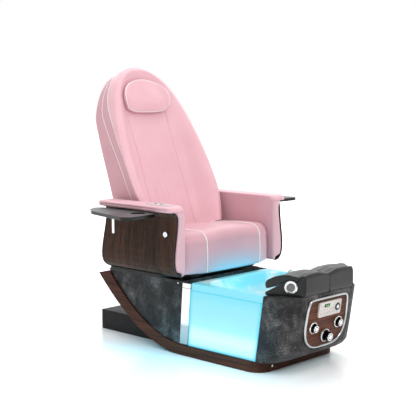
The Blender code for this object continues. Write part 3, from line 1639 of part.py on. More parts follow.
make_sled()
make_foot_box()
make_rear_shell()
make_trim_bands()
make_tub()
make_tub_panels()
make_light_strip()
make_drain()
make_jet()
make_front_shell()
make_panel()
make_footrest()
make_spout()
make_rails()
make_runners()
make_seat_plate()
make_seat_cushion()
for hand, direction in (("left", 1), ("right", -1)):
    make_arm_pad(hand, direction)
    make_arm_skin(hand, direction)
    make_bolt_cap(hand, direction)
    make_tray(hand, direction)
make_arm_control()
make_backrest()
make_headrest()
make_hinge()
make_inner_works()
settle()
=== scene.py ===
"""Looks of the pedicure spa chair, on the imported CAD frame: materials, soft forms, light and camera."""

import math

import bmesh
import bpy
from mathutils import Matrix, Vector, noise


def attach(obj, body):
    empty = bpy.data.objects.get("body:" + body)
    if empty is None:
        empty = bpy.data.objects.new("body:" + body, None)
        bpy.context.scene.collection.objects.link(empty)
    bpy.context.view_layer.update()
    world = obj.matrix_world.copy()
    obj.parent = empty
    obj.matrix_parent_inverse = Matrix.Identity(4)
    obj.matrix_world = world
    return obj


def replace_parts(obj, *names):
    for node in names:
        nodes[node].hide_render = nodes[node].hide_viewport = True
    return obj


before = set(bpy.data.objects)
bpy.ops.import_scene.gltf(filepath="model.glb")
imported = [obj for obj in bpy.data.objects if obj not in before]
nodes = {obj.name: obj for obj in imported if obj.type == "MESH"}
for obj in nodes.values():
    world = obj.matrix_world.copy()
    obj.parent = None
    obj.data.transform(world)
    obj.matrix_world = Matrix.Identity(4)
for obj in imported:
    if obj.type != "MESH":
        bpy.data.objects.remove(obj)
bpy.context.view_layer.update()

# Sizes in metres. The chair was drawn around its own middle, SHIFT behind the frame's.
SHIFT = 0.0133

# Backrest, measured out of (n) and up (s) its leaning front plane from the recline axis
AXIS_Y = 0.345 - SHIFT
AXIS_Z = 0.456
LEAN = math.radians(21.5)
BACK_FACE = 0.070
BACK_BOTTOM = 0.125
BACK_SHOULDER = 0.392
BACK_TOP = 1.077
BACK_HALF = 0.321
BACK_NARROW = 0.055
CREST_FROM = 0.292
CREST_RISE = 0.103
CREST_SLOPE = 0.092
CREST_START = 0.50
CREST_AT = 0.88
CREST_END = 0.95
CREST_TURN = 0.016
FRONT_SEAM_EDGE = ((0.300, 0.090), (0.500, 0.070), (0.700, 0.024), (0.900, -0.034), (1.077, -0.050))
REAR_SEAM_EDGE = ((0.300, 0.046), (0.500, 0.024), (0.700, -0.031), (0.850, -0.078), (1.077, -0.072))
FRONT_SEAM_MIDDLE = -0.050
REAR_SEAM_MIDDLE = -0.082
BACK_EDGE = ((0.300, -0.112), (0.500, -0.103), (0.700, -0.118), (0.850, -0.138), (1.077, -0.100))
BACK_MIDDLE = ((0.500, -0.118), (0.700, -0.126), (0.850, -0.143), (1.077, -0.103))
DOME = 2.45
TOP_ROUND = 0.016
PANEL_SEAM = 0.147
SEAM_TOP = 0.930
SEAM_DEPTH = 0.0045
FAN_PITCH = 0.045
FAN_TOP = 0.490
FAN_DROP = 0.045
FAN_DEPTH = 0.0030

# Seat plate and arms
PLATE_TOP = 0.4247
REST_GAP = 0.0003
ARM_TOP = 0.785
ARM_ROLL = 0.034
ARM_FRONT = -0.078 - SHIFT
ARM_REAR = 0.476 - SHIFT
ARM_INNER = 0.345
ARM_NECK = 0.406
FLANGE_THICK = 0.030
FLANGE_OUT = 0.4525


# ---- materials


class Nodes:
    """Short ways to add nodes to a tree."""

    def __init__(self, tree):
        self.tree = tree

    def add(self, kind, **values):
        made = self.tree.nodes.new(kind)
        for key, value in values.items():
            setattr(made, key, value)
        return made

    def link(self, out, into):
        self.tree.links.new(out, into)

    def fed(self, made, values):
        """A node with its sockets filled in turn, by plain values or by other nodes' outputs."""
        for socket, value in zip(made.inputs, values):
            if isinstance(value, bpy.types.NodeSocket):
                self.link(value, socket)
            else:
                socket.default_value = value
        return made

    def math(self, operation, *values):
        return self.fed(self.add("ShaderNodeMath", operation=operation), values).outputs[0]

    def vector(self, operation, *values):
        made = self.fed(self.add("ShaderNodeVectorMath", operation=operation), values)
        return made.outputs["Value" if operation in ("DOT_PRODUCT", "LENGTH") else "Vector"]

    def ramp(self, fac, stops):
        made = self.add("ShaderNodeValToRGB")
        ramp = made.color_ramp
        while len(ramp.elements) < len(stops):
            ramp.elements.new(0.5)
        for element, (place, colour) in zip(ramp.elements, stops):
            element.position = place
            element.color = (*colour, 1)
        self.link(fac, made.inputs["Fac"])
        return made.outputs["Color"]

    def range(self, fac, low, high, a=0.0, b=1.0):
        made = self.add("ShaderNodeMapRange")
        for name, value in (("From Min", a), ("From Max", b), ("To Min", low), ("To Max", high)):
            made.inputs[name].default_value = value
        self.link(fac, made.inputs["Value"])
        return made.outputs["Result"]

    def mix(self, fac, a, b, blend="MIX"):
        made = self.add("ShaderNodeMix", data_type="RGBA", blend_type=blend)
        for socket, value in ((0, fac), (6, a), (7, b)):
            into = made.inputs[socket]
            if isinstance(value, (int, float)):
                into.default_value = value
            elif isinstance(value, tuple):
                into.default_value = (*value, 1)
            else:
                self.link(value, into)
        return made.outputs[2]


class Paint(Nodes):
    """A material, painted by places on the object."""

    def __init__(self, name):
        self.material = bpy.data.materials.new(name)
        self.material.use_nodes = True
        super().__init__(self.material.node_tree)
        self.shader = self.tree.nodes["Principled BSDF"]
        self.place = self.add("ShaderNodeTexCoord").outputs["Object"]

    def set(self, **values):
        for key, value in values.items():
            self.shader.inputs[key.replace("_", " ")].default_value = value

    def scaled(self, scale, turn=(0, 0, 0)):
        mapping = self.add("ShaderNodeMapping")
        mapping.inputs["Scale"].default_value = scale
        mapping.inputs["Rotation"].default_value = turn
        self.link(self.place, mapping.inputs["Vector"])
        return mapping.outputs["Vector"]

    def noise(self, scale, detail=4, rough=0.55, vector=None, distortion=0.0):
        made = self.add("ShaderNodeTexNoise")
        made.inputs["Scale"].default_value = scale
        made.inputs["Detail"].default_value = detail
        made.inputs["Roughness"].default_value = rough
        made.inputs["Distortion"].default_value = distortion
        self.link(vector or self.place, made.inputs["Vector"])
        return made.outputs["Fac"]

    def cells(self, scale, feature="F1"):
        made = self.add("ShaderNodeTexVoronoi", feature=feature)
        made.inputs["Scale"].default_value = scale
        self.link(self.place, made.inputs["Vector"])
        return made.outputs["Distance"]

    def height(self, axis="Z"):
        made = self.add("ShaderNodeSeparateXYZ")
        self.link(self.place, made.inputs[0])
        return made.outputs[axis]

    def lean(self, normal, offset):
        """How far a place is from a plane."""
        return self.math("ADD", self.vector("DOT_PRODUCT", self.place, normal), offset)

    def aside(self):
        """How far a place is from the chair's middle, to either side."""
        return self.math("ABSOLUTE", self.height("X"))

    def bump(self, fac, strength, distance, below=None):
        made = self.add("ShaderNodeBump")
        made.inputs["Strength"].default_value = strength
        made.inputs["Distance"].default_value = distance
        self.link(fac, made.inputs["Height"])
        if below is not None:
            self.link(below, made.inputs["Normal"])
        return made.outputs["Normal"]

    def colour(self, out):
        self.link(out, self.shader.inputs["Base Color"])

    def rough(self, out):
        self.link(out, self.shader.inputs["Roughness"])

    def normal(self, out):
        self.link(out, self.shader.inputs["Normal"])


def leather(name, light, dark, rough, grain=420, depth=0.00035, gloss=0.32, lit=None):
    """Soft upholstery leather: pebbled grain, faint creases and slow shifts of tone."""
    paint = Paint(name)
    tone = paint.noise(5, 3)
    base = paint.ramp(tone, [(0.3, dark), (0.7, light)])
    if lit:
        base = lit(paint, base)
    pores = paint.cells(grain, "DISTANCE_TO_EDGE")
    # The grooves between the pebbles are darkened a little: real grain, painted shade in its grooves.
    paint.colour(paint.mix(paint.range(pores, 0.10, 0.0, 0.0, 0.12), base, tuple(c * 0.7 for c in dark)))
    paint.rough(paint.range(paint.noise(40, 2), rough - 0.05, rough + 0.07))
    creases = paint.bump(paint.noise(26, 6, 0.6, distortion=0.4), 0.12, 0.002)
    paint.normal(paint.bump(pores, 0.25, depth, creases))
    paint.set(Coat_Weight=0.05, Coat_Roughness=0.35, Sheen_Weight=0.06, Specular_IOR_Level=gloss)
    return paint.material


def basin_light(paint, base):
    """The cast of the lit basin on the seat's low front, strongest in the middle."""
    low = paint.math("POWER", paint.range(paint.height(), 1.0, 0.0, 0.425, 0.575), 1.7)
    middle = paint.range(paint.aside(), 0.92, 0.22, 0.10, 0.34)
    front = paint.range(paint.height("Y"), 1.0, 0.0, -0.10, 0.02)
    share = paint.math("MULTIPLY", paint.math("MULTIPLY", low, middle), front)
    return paint.mix(share, base, (0.24, 0.60, 0.74))


def wood(name, light, dark, along, rough=0.38):
    """Straight-grained dark veneer: long pores and streaks along one axis."""
    paint = Paint(name)
    stretch = [150.0, 150.0, 150.0]
    stretch["XYZ".index(along)] = 3.0
    fine = paint.noise(1.0, 5, 0.65, paint.scaled(stretch))
    broad = [22.0, 22.0, 22.0]
    broad["XYZ".index(along)] = 1.1
    bands = paint.noise(1.0, 4, 0.55, paint.scaled(broad), 0.6)
    middle = tuple((a + b) / 2 for a, b in zip(light, dark))
    base = paint.ramp(bands, [(0.30, dark), (0.52, middle), (0.72, light)])
    paint.colour(paint.mix(paint.range(fine, 0.75, 0.0, 0.34, 0.56), base, tuple(c * 0.35 for c in dark)))
    paint.rough(paint.range(fine, rough + 0.14, rough - 0.04, 0.3, 0.7))
    paint.normal(paint.bump(fine, 0.20, 0.0004))
    paint.set(Coat_Weight=0.02, Coat_Roughness=0.25, Specular_IOR_Level=0.14)
    return paint.material


def stone(name):
    """Dark moulded resin with the clouded, speckled look of stone."""
    paint = Paint(name)
    clouds = paint.noise(9, 6, 0.62, distortion=0.5)
    base = paint.ramp(
        clouds,
        [
            (0.32, (0.006, 0.006, 0.007)),
            (0.46, (0.018, 0.018, 0.019)),
            (0.58, (0.050, 0.050, 0.052)),
            (0.74, (0.105, 0.105, 0.108)),
        ],
    )
    speckle = paint.noise(140, 3, 0.7)
    specks = [(0.36, (0.35, 0.35, 0.36)), (0.50, (0.9, 0.9, 0.9)), (0.66, (2.0, 2.0, 2.02))]
    grain = paint.ramp(speckle, specks)
    base = paint.mix(0.8, base, grain, "MULTIPLY")
    blotches = paint.ramp(paint.noise(34, 5, 0.7), [(0.36, (0.35, 0.35, 0.36)), (0.56, (1.25, 1.25, 1.27))])
    base = paint.mix(0.8, base, blotches, "MULTIPLY")
    paint.colour(paint.mix(1.0, base, (1.06, 1.0, 0.94), "MULTIPLY"))
    paint.set(Specular_IOR_Level=0.22)
    paint.rough(paint.range(speckle, 0.62, 0.42, 0.3, 0.7))
    paint.normal(paint.bump(speckle, 0.18, 0.0006, paint.bump(clouds, 0.15, 0.003)))
    return paint.material


def metal(name, colour, rough, grain=None):
    """Polished or brushed metal, with faint wiping marks in its gloss."""
    paint = Paint(name)
    paint.set(Metallic=1.0)
    smears = paint.noise(18, 4)
    dim = tuple(c * 0.86 for c in colour)
    paint.colour(paint.ramp(smears, [(0.35, dim), (0.65, colour)]))
    if grain:
        stretch = [260.0, 260.0, 260.0]
        stretch["XYZ".index(grain)] = 6.0
        lines = paint.noise(1.0, 3, 0.6, paint.scaled(stretch))
        paint.rough(paint.range(lines, rough - 0.06, rough + 0.10, 0.3, 0.7))
        paint.normal(paint.bump(lines, 0.10, 0.0002))
    else:
        paint.rough(paint.range(smears, rough, rough + 0.06, 0.3, 0.7))
    return paint.material


def plastic(name, colour, rough, grain=500, strength=0.12, coat=0.0):
    """Moulded plastic: a fine moulded texture and slight shifts of tone and gloss."""
    paint = Paint(name)
    tone = paint.noise(12, 4)
    dim, lit = (tuple(c * share for c in colour) for share in (0.85, 1.12))
    paint.colour(paint.ramp(tone, [(0.3, dim), (0.7, lit)]))
    paint.rough(paint.range(tone, rough + 0.06, rough - 0.05, 0.3, 0.7))
    paint.normal(paint.bump(paint.noise(grain, 2), strength, 0.0003))
    paint.set(Coat_Weight=coat, Coat_Roughness=0.15, Specular_IOR_Level=0.30)
    return paint.material


def tray_painted_light():
    """Moulded trays: faces turned up are painted grey, all other faces black and glossier, painted light and
    shade by which way they face.
    """
    paint = Paint("tray_grey_painted_top_light")
    facing = paint.add("ShaderNodeSeparateXYZ")
    paint.link(paint.add("ShaderNodeNewGeometry").outputs["Normal"], facing.inputs[0])
    # Painted light and shade: lighter on faces turned up, black on the rest.
    top = paint.range(facing.outputs["Z"], 0.0, 1.0, 0.80, 0.95)
    tone = paint.noise(9, 4)
    grey = paint.ramp(tone, [(0.3, (0.050, 0.052, 0.054)), (0.7, (0.085, 0.088, 0.090))])
    paint.colour(paint.mix(top, (0.006, 0.006, 0.007), grey))
    paint.rough(paint.range(top, 0.24, 0.42))
    paint.normal(paint.bump(paint.noise(260, 2), 0.08, 0.0003))
    paint.set(Specular_IOR_Level=0.35)
    return paint.material


def band_with_painted_reflection():
    """The upright trim: polished, black at the very top, with a joint line, and greyer low down, a painted
    dim reflection.
    """
    paint = Paint("polished_trim")
    paint.set(Metallic=0.92)
    rise = paint.range(paint.height(), 0.0, 1.0, 0.055, 0.386)
    # From the foot up: greyer metal low down, painted dim reflection; bright polish with a dark joint line;
    # black at the very top.
    base = paint.ramp(
        rise,
        [
            (0.00, (0.30, 0.31, 0.32)),
            (0.30, (0.40, 0.41, 0.42)),
            (0.36, (0.84, 0.84, 0.85)),
            (0.895, (0.88, 0.88, 0.89)),
            (0.905, (0.16, 0.16, 0.17)),
            (0.915, (0.82, 0.82, 0.83)),
            (0.975, (0.82, 0.82, 0.83)),
            (0.985, (0.006, 0.006, 0.006)),
        ],
    )
    lines = paint.noise(1.0, 3, 0.6, paint.scaled((260, 260, 6)))
    paint.colour(paint.mix(paint.range(lines, 0.0, 0.25, 0.4, 0.7), base, (0.60, 0.60, 0.61)))
    paint.rough(paint.range(lines, 0.14, 0.26, 0.3, 0.7))
    paint.normal(paint.bump(lines, 0.08, 0.0002))
    return paint.material


def knob_painted_reflection(name, across, up, radius):
    """Polished knobs with painted reflections: dark and bright rings round the axis stand in for the
    surroundings mirrored in them.
    """
    paint = Paint(name)
    paint.set(Metallic=0.95)
    place = paint.vector("SUBTRACT", paint.place, on_panel(across, up, 0))
    along = paint.vector("PROJECT", place, PANEL_NORMAL)
    reach = paint.vector("LENGTH", paint.vector("SUBTRACT", place, along))
    share = paint.range(reach, 0.0, 1.0, 0.0, radius)
    bright, dark = (0.84, 0.85, 0.86), (0.010, 0.010, 0.011)
    # Bright and dark rings out from the axis: painted highlights and painted dark reflections.
    rings = [(0.30, bright), (0.34, dark), (0.42, dark), (0.47, bright)]
    rings += [(0.56, bright), (0.62, dark), (0.84, dark), (0.90, bright)]
    paint.colour(paint.ramp(share, rings))
    paint.rough(paint.range(paint.noise(30, 3), 0.06, 0.14, 0.3, 0.7))
    return paint.material


def perforated_shaded_holes():
    """A dark perforated disc: the hole pattern is the disc's own, the near black inside the holes is painted
    shade.
    """
    paint = Paint("perforated_disc")
    holes = paint.cells(190)
    # Near black in the holes: painted shade.
    paint.colour(paint.ramp(holes, [(0.20, (0.004, 0.004, 0.004)), (0.34, (0.16, 0.16, 0.165))]))
    paint.rough(paint.range(holes, 0.6, 0.30, 0.2, 0.4))
    paint.normal(paint.bump(holes, 0.5, 0.0006))
    paint.set(Metallic=0.6)
    return paint.material


def lit_digit():
    paint = Paint("green_digit")
    tone = paint.noise(300, 2)
    green = paint.ramp(tone, [(0.3, (0.08, 0.50, 0.06)), (0.7, (0.20, 0.75, 0.10))])
    paint.colour(green)
    paint.link(green, paint.shader.inputs["Emission Color"])
    paint.set(Emission_Strength=0.25, Roughness=0.4)
    return paint.material


def acrylic(name, stops, low, high, glow, streaks, edges=()):
    """Translucent acrylic lit from behind: the glow runs from one colour to another up the wall."""
    paint = Paint(name)
    rise = paint.range(paint.height(), 0.0, 1.0, low, high)
    colour = paint.ramp(rise, stops)
    if streaks:
        slow = paint.noise(1.0, 5, 0.6, paint.scaled((3.0, 9.0, 5.0), (0.2, 0.1, 0.5)), 1.4)
        veil = paint.ramp(slow, [(0.42, (0, 0, 0)), (0.62, (1, 1, 1))])
        inside = paint.range(paint.aside(), 1.0, 0.0, 0.250, 0.266)
        veil = paint.math("MULTIPLY", paint.range(veil, 0.0, streaks), inside)
        colour = paint.mix(veil, colour, (0.72, 0.84, 0.85))
    for normal, offset, reach in edges:
        near = paint.range(paint.lean(normal, offset), 1.0, 0.0, 0.0, reach)
        share = paint.range(paint.math("POWER", near, 2.2), 0.0, 0.85)
        colour = paint.mix(share, colour, (0.03, 0.60, 0.82))
    paint.colour(paint.mix(1.0, colour, (0.50, 0.50, 0.50), "MULTIPLY"))
    paint.link(colour, paint.shader.inputs["Emission Color"])
    haze = paint.noise(60, 2)
    paint.rough(paint.range(haze, 0.16, 0.26))
    paint.normal(paint.bump(haze, 0.03, 0.0005))
    paint.set(Emission_Strength=glow, Coat_Weight=0.3, Coat_Roughness=0.10)
    return paint.material


# One pink leather in four copies: the arm, seat and side copies are darker than the front's, painted shade;
# the seat's also carries the painted cast of the lit basin.
pink = leather("pink_leather_rich", (0.750, 0.445, 0.495), (0.705, 0.400, 0.450), 0.44)
arm_pink_shaded = leather("pink_leather_arm_painted_shade", (0.655, 0.395, 0.438), (0.610, 0.358, 0.400), 0.46)
seat_pink_shaded = leather("pink_leather_seat_painted_shade", (0.570, 0.325, 0.365), (0.525, 0.290, 0.330), 0.46, lit=basin_light)
pink_shaded = leather("pink_leather_side_painted_shade", (0.585, 0.330, 0.370), (0.540, 0.290, 0.330), 0.48)
piping_white = leather("white_piping", (0.80, 0.76, 0.76), (0.72, 0.68, 0.68), 0.42, 600, 0.0002)
black_hide = leather(
    "black_leather_rich", (0.017, 0.017, 0.018), (0.008, 0.008, 0.009), 0.38, 300, 0.0005, 0.30
)
black_thread = leather("black_seam", (0.004, 0.004, 0.004), (0.003, 0.003, 0.003), 0.6, 600, 0.0002, 0.15)
# One walnut in three copies: the arm and board copies are darker than the panel's, painted shade.
arm_wood_shaded = wood("walnut_arm_painted_shade", (0.072, 0.029, 0.015), (0.017, 0.007, 0.004), "Z", 0.46)
sled_wood_shaded = wood("red_walnut_board_painted_shade", (0.098, 0.027, 0.013), (0.034, 0.010, 0.006), "Y", 0.48)
panel_wood = wood("red_walnut_panel", (0.160, 0.050, 0.022), (0.058, 0.017, 0.008), "X", 0.42)
dark_stone = stone("dark_stone")
mirror_chrome = metal("polished_chrome", (0.82, 0.83, 0.84), 0.07)
frame_chrome = metal("frame_chrome", (0.54, 0.55, 0.56), 0.14)
brushed = metal("brushed_steel", (0.50, 0.51, 0.52), 0.30, "X")
silver_inlay = metal("silver_inlay", (0.74, 0.80, 0.79), 0.40, "Y")
brass_metal = metal("valve_brass", (0.72, 0.50, 0.20), 0.30)
matt_black = plastic("matt_black", (0.008, 0.008, 0.009), 0.48)
foot_black = plastic("foot_black", (0.004, 0.004, 0.0045), 0.62)
satin_black = plastic("satin_black", (0.006, 0.006, 0.007), 0.30, 300, 0.05, 0.1)
key_grey = plastic("key_grey", (0.16, 0.17, 0.17), 0.40)
cream = plastic("cream_keypad", (0.54, 0.51, 0.48), 0.42, 400, 0.10)
white_moulding = plastic("white_moulding", (0.78, 0.78, 0.78), 0.35)
# Colours up the lit walls, from the foot to the rim
CYAN = [
    (0.0, (0.56, 0.84, 0.86)),
    (0.20, (0.76, 0.88, 0.88)),
    (0.30, (0.66, 0.86, 0.88)),
    (0.40, (0.40, 0.80, 0.87)),
    (0.80, (0.30, 0.78, 0.86)),
    (1.0, (0.20, 0.72, 0.84)),
]
BASIN = [
    (0.0, (0.46, 0.60, 0.61)),
    (0.35, (0.42, 0.72, 0.76)),
    (0.8, (0.22, 0.70, 0.82)),
    (1.0, (0.22, 0.74, 0.86)),
]
# The lit wall's edges: a plane's normal and offset, and how far in its rim glows stronger
SIDE_EDGES = (
    ((0.0, -0.9975, -0.0710), -0.0545, 0.030),
    ((0.0, 0.9891, 0.1475), 0.4983, 0.030),
    ((0.0, 0.0, 1.0), -0.0560, 0.030),
    ((0.0, 0.0, -1.0), 0.3500, 0.014),
)
side_glow = acrylic("lit_side", CYAN, 0.06, 0.35, 0.44, 0.18, SIDE_EDGES)
bowl_glow = acrylic("lit_basin", BASIN, 0.12, 0.385, 0.46, 0.8)
lamp = acrylic("lamp_rail", [(0.0, (0.3, 0.85, 1.0)), (1.0, (0.3, 0.85, 1.0))], 0.3, 0.4, 4.0, 0)


PANEL_CENTRE = Vector((0, -0.69136 - SHIFT, 0.238))
PANEL_LEAN = math.atan(0.154)
PANEL_NORMAL = Vector((0, -math.cos(PANEL_LEAN), -math.sin(PANEL_LEAN)))
PANEL_UP = Vector((0, -math.sin(PANEL_LEAN), math.cos(PANEL_LEAN)))


def on_panel(across, up, out):
    return PANEL_CENTRE + Vector((across, 0, 0)) + PANEL_UP * up + PANEL_NORMAL * out


def dress(finish, *names):
    for name in names:
        mesh = nodes[name].data
        mesh.materials.clear()
        mesh.materials.append(finish)


dress(arm_wood_shaded, "arm_panel_left", "arm_panel_right")
dress(sled_wood_shaded, "sled_frame")
dress(dark_stone, "rear_shell", "front_shell")
dress(foot_black, "rear_foot")
dress(matt_black, "jet_housing", "seat_runners", "seat_plate", "recline_motor", "slide_motor")
dress(tray_painted_light(), "tray_left", "tray_right")
dress(key_grey, "slide_key", "recline_key")
dress(satin_black, "keypad_button")
dress(white_moulding, "jet_impeller")
dress(cream, "keypad")
dress(silver_inlay, "arm_control")
dress(band_with_painted_reflection(), "trim_band_left", "trim_band_right")
dress(mirror_chrome, "frame_screw", "drain_fitting", "drain_stopper", "jet_cover", "panel_frame")
dress(mirror_chrome, "pivot_cap_left", "pivot_cap_right", "spout")
dress(mirror_chrome, "bolt_cap_left", "bolt_cap_right", "tray_post_left", "tray_post_right")
dress(brushed, "footrest_shaft", "seat_rails", "tray_bracket_left", "tray_bracket_right", "hinge_bracket")
dress(brushed, "recline_shaft", "hinge_yoke", "water_pump")
dress(knob_painted_reflection("hot_knob_painted_reflection", -0.099, -0.018, 0.030), "hot_knob")
dress(knob_painted_reflection("cold_knob_painted_reflection", 0.099, -0.018, 0.030), "cold_knob")
dress(knob_painted_reflection("diverter_painted_reflection", 0.0, -0.070, 0.034), "diverter_knob")
dress(brass_metal, "valve_manifold")
dress(side_glow, "tub_panel_left", "tub_panel_right")
dress(bowl_glow, "tub_bowl")
dress(lamp, "light_strip")


# ---- mesh helpers


def smooth(value):
    value = min(max(value, 0.0), 1.0)
    return value * value * (3 - 2 * value)


def spread(low, high, count):
    return [low + (high - low) * i / (count - 1) for i in range(count)]


def between(value, table):
    if value <= table[0][0]:
        return table[0][1]
    for (a, low), (b, high) in zip(table, table[1:]):
        if value <= b:
            return low + (high - low) * (value - a) / (b - a)
    return table[-1][1]


def eased(value, table):
    """A smooth line through a table's knots."""
    value = min(max(value, table[0][0]), table[-1][0])
    for i, ((a, low), (b, high)) in enumerate(zip(table, table[1:])):
        if value <= b:
            before = table[max(i - 1, 0)]
            after = table[min(i + 2, len(table) - 1)]
            start = (high - before[1]) / (b - before[0]) * (b - a)
            end = (after[1] - low) / (after[0] - a) * (b - a)
            u = (value - a) / (b - a)
            return (
                (2 * u**3 - 3 * u**2 + 1) * low
                + (u**3 - 2 * u**2 + u) * start
                + (3 * u**2 - 2 * u**3) * high
                + (u**3 - u**2) * end
            )
    return table[-1][1]


def bell(distance, width):
    return math.exp(-((distance / width) ** 2))


def skin(name, rings, finish, capped=True, sharp=50):
    """A closed skin through rings of points."""
    build = bmesh.new()
    rows = [[build.verts.new(point) for point in ring] for ring in rings]
    count = len(rows[0])
    for low, high in zip(rows, rows[1:]):
        for i in range(count):
            j = (i + 1) % count
            build.faces.new((low[i], low[j], high[j], high[i]))
    if capped:
        build.faces.new(rows[0][::-1])
        build.faces.new(rows[-1])
    build.normal_update()
    bmesh.ops.recalc_face_normals(build, faces=build.faces)
    mesh = bpy.data.meshes.new(name)
    build.to_mesh(mesh)
    build.free()
    mesh.materials.append(finish)
    mesh.shade_smooth()
    mesh.set_sharp_from_angle(angle=math.radians(sharp))
    made = bpy.data.objects.new(name, mesh)
    bpy.context.scene.collection.objects.link(made)
    return made


def tube(name, path, radius, finish, closed=False):
    """A round cord sewn along a path, as a curve."""
    curve = bpy.data.curves.new(name, "CURVE")
    curve.dimensions = "3D"
    curve.bevel_depth = radius
    curve.bevel_resolution = 3
    curve.use_fill_caps = not closed
    spline = curve.splines.new("POLY")
    spline.points.add(len(path) - 1)
    for point, place in zip(spline.points, path):
        point.co = (*place, 1)
    spline.use_cyclic_u = closed
    spline.use_smooth = True
    curve.materials.append(finish)
    made = bpy.data.objects.new(name, curve)
    bpy.context.scene.collection.objects.link(made)
    return made


def resampled(points, count):
    """Points at even steps round a closed loop."""
    points = [Vector(p) for p in points]
    points.append(points[0])
    lengths = [0.0]
    for a, b in zip(points, points[1:]):
        lengths.append(lengths[-1] + (b - a).length)
    table = list(zip(lengths, points))
    return [between(lengths[-1] * i / count, table) for i in range(count)]


def relaxed(points, passes):
    """A closed loop with its corners evened out."""
    for _ in range(passes):
        after = points[1:] + points[:1]
        points = [(points[i - 1] + points[i] * 2 + after[i]) / 4 for i in range(len(points))]
    return points


# ---- backrest


def on_back(x, n, s):
    """A point of the backrest in the chair's frame, from x, out of its front (n) and up it (s)."""
    y, z = -n - BACK_FACE, s
    back = AXIS_Y + y * math.cos(LEAN) + z * math.sin(LEAN)
    up = AXIS_Z - y * math.sin(LEAN) + z * math.cos(LEAN)
    return Vector((x, back, up))


def back_half(s):
    if s < BACK_SHOULDER:
        return BACK_HALF - BACK_NARROW * ((BACK_SHOULDER - s) / (BACK_SHOULDER - BACK_BOTTOM)) ** 2
    u = min((s - BACK_SHOULDER) / (BACK_TOP - BACK_SHOULDER), 0.99985)
    return BACK_HALF * (1 - u * u) ** (1 / DOME)


def above(s):
    return max(s - CREST_FROM, 0)


def radial(x, s):
    u = max((s - BACK_SHOULDER) / (BACK_TOP - BACK_SHOULDER), 0)
    return min(((abs(x) / back_half(s)) ** 4 + u**12) ** 0.25, 1.0)


def seam_at(s):
    return PANEL_SEAM * min(1.0, back_half(s) / (0.8 * BACK_HALF))


def fan_at(k, s):
    return k * FAN_PITCH * seam_at(s) / PANEL_SEAM


def front_height(x, s):
    """The padded front: a flat middle panel, rising bolsters, sewn seams and a fan of channels."""
    r = radial(x, s)
    lift = (CREST_RISE - CREST_SLOPE * above(s)) * smooth((r - CREST_START) / (CREST_END - CREST_START))
    if r > CREST_AT:
        lift -= CREST_TURN * ((r - CREST_AT) / (1 - CREST_AT)) ** 1.6
    side = abs(x) - seam_at(s)
    sewn = smooth((SEAM_TOP - s) / 0.06)
    lift -= sewn * SEAM_DEPTH * bell(side, 0.0035)
    lift += sewn * (0.0020 * bell(side + 0.020, 0.016) + 0.0025 * bell(side - 0.022, 0.018))
    for k in range(-2, 3):
        fade = smooth((FAN_TOP - FAN_DROP * abs(k) + 0.02 - s) / 0.07)
        lift -= FAN_DEPTH * fade * bell(x - fan_at(k, s), 0.0032)
        lift += 0.0014 * fade * bell(x - fan_at(k + 0.5, s), 0.012) * (k < 2)
    return lift + 0.0012 * noise.noise((x * 9, s * 7, 1.7)) * (1 - r * 0.5)


def layer_height(x, s, edge, middle):
    return middle + (edge - middle) * between(radial(x, s), [(0, 0), (0.5, 0.12), (0.8, 0.6), (1, 1)])


def front_seam(x, s):
    return layer_height(x, s, eased(s, FRONT_SEAM_EDGE), FRONT_SEAM_MIDDLE)


def rear_seam(x, s):
    return layer_height(x, s, eased(s, REAR_SEAM_EDGE), REAR_SEAM_MIDDLE)


def rear_height(x, s):
    middle = eased(s, BACK_MIDDLE)
    return middle + (eased(s, BACK_EDGE) - middle) * smooth((radial(x, s) - 0.74) / 0.26)


def dome_levels(count):
    """Levels from the shoulder to the top, closer together towards the top."""
    rise = BACK_TOP - BACK_SHOULDER
    return [BACK_SHOULDER + rise * math.sin(math.radians(a)) for a in spread(0, 89, count)]


def back_levels():
    low = spread(BACK_BOTTOM, BACK_SHOULDER, 34)[:-1]
    return low + dome_levels(90)


def across(s, inset):
    """Places on one level from the left edge to the right, as many on each level."""
    half = back_half(s)
    seam = seam_at(s)
    inner = spread(0, seam - 0.008 * seam / PANEL_SEAM, 46)
    steps = (-0.006, -0.0045, -0.003, -0.0015, 0, 0.0015, 0.003, 0.0045, 0.006)
    crease = [seam + d * seam / PANEL_SEAM for d in steps]
    rest = spread(seam + 0.009 * seam / PANEL_SEAM, half - inset, 40)
    right = inner + crease + rest
    return [-x for x in reversed(right)][:-1] + right


def coarse(s, inset):
    half = back_half(s) - inset
    return spread(-half, half, 25)


def side_bulge(s):
    """How far a layer's seams lie in from its widest place."""
    return min(0.010 + TOP_ROUND * smooth((s - 0.80) / 0.27), back_half(s) * 0.5)


def back_layer(name, front, rear, fine, finish):
    rings = []
    for s in back_levels():
        half = back_half(s)
        bulge = side_bulge(s)
        ahead = [(x, front(x, s)) for x in (across(s, bulge) if fine else coarse(s, bulge))]
        behind = [(x, rear(x, s)) for x in coarse(s, bulge)][::-1]
        high, low = ahead[-1][1], behind[0][1]
        edge = []
        for t in spread(0, 1, 11)[1:-1]:
            out = (1 - abs(2 * t - 1) ** 2.6) ** (1 / 2.6)
            down = t - 0.08 * math.sin(2 * math.pi * t)
            edge.append((half - bulge * (1 - out), high + (low - high) * down))
        other = [(-x, n) for x, n in reversed(edge)]
        rings.append([on_back(x, n, s) for x, n in ahead + edge + behind + other])
    made = skin(name, rings, finish, sharp=65)
    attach(made, "backrest")
    return made


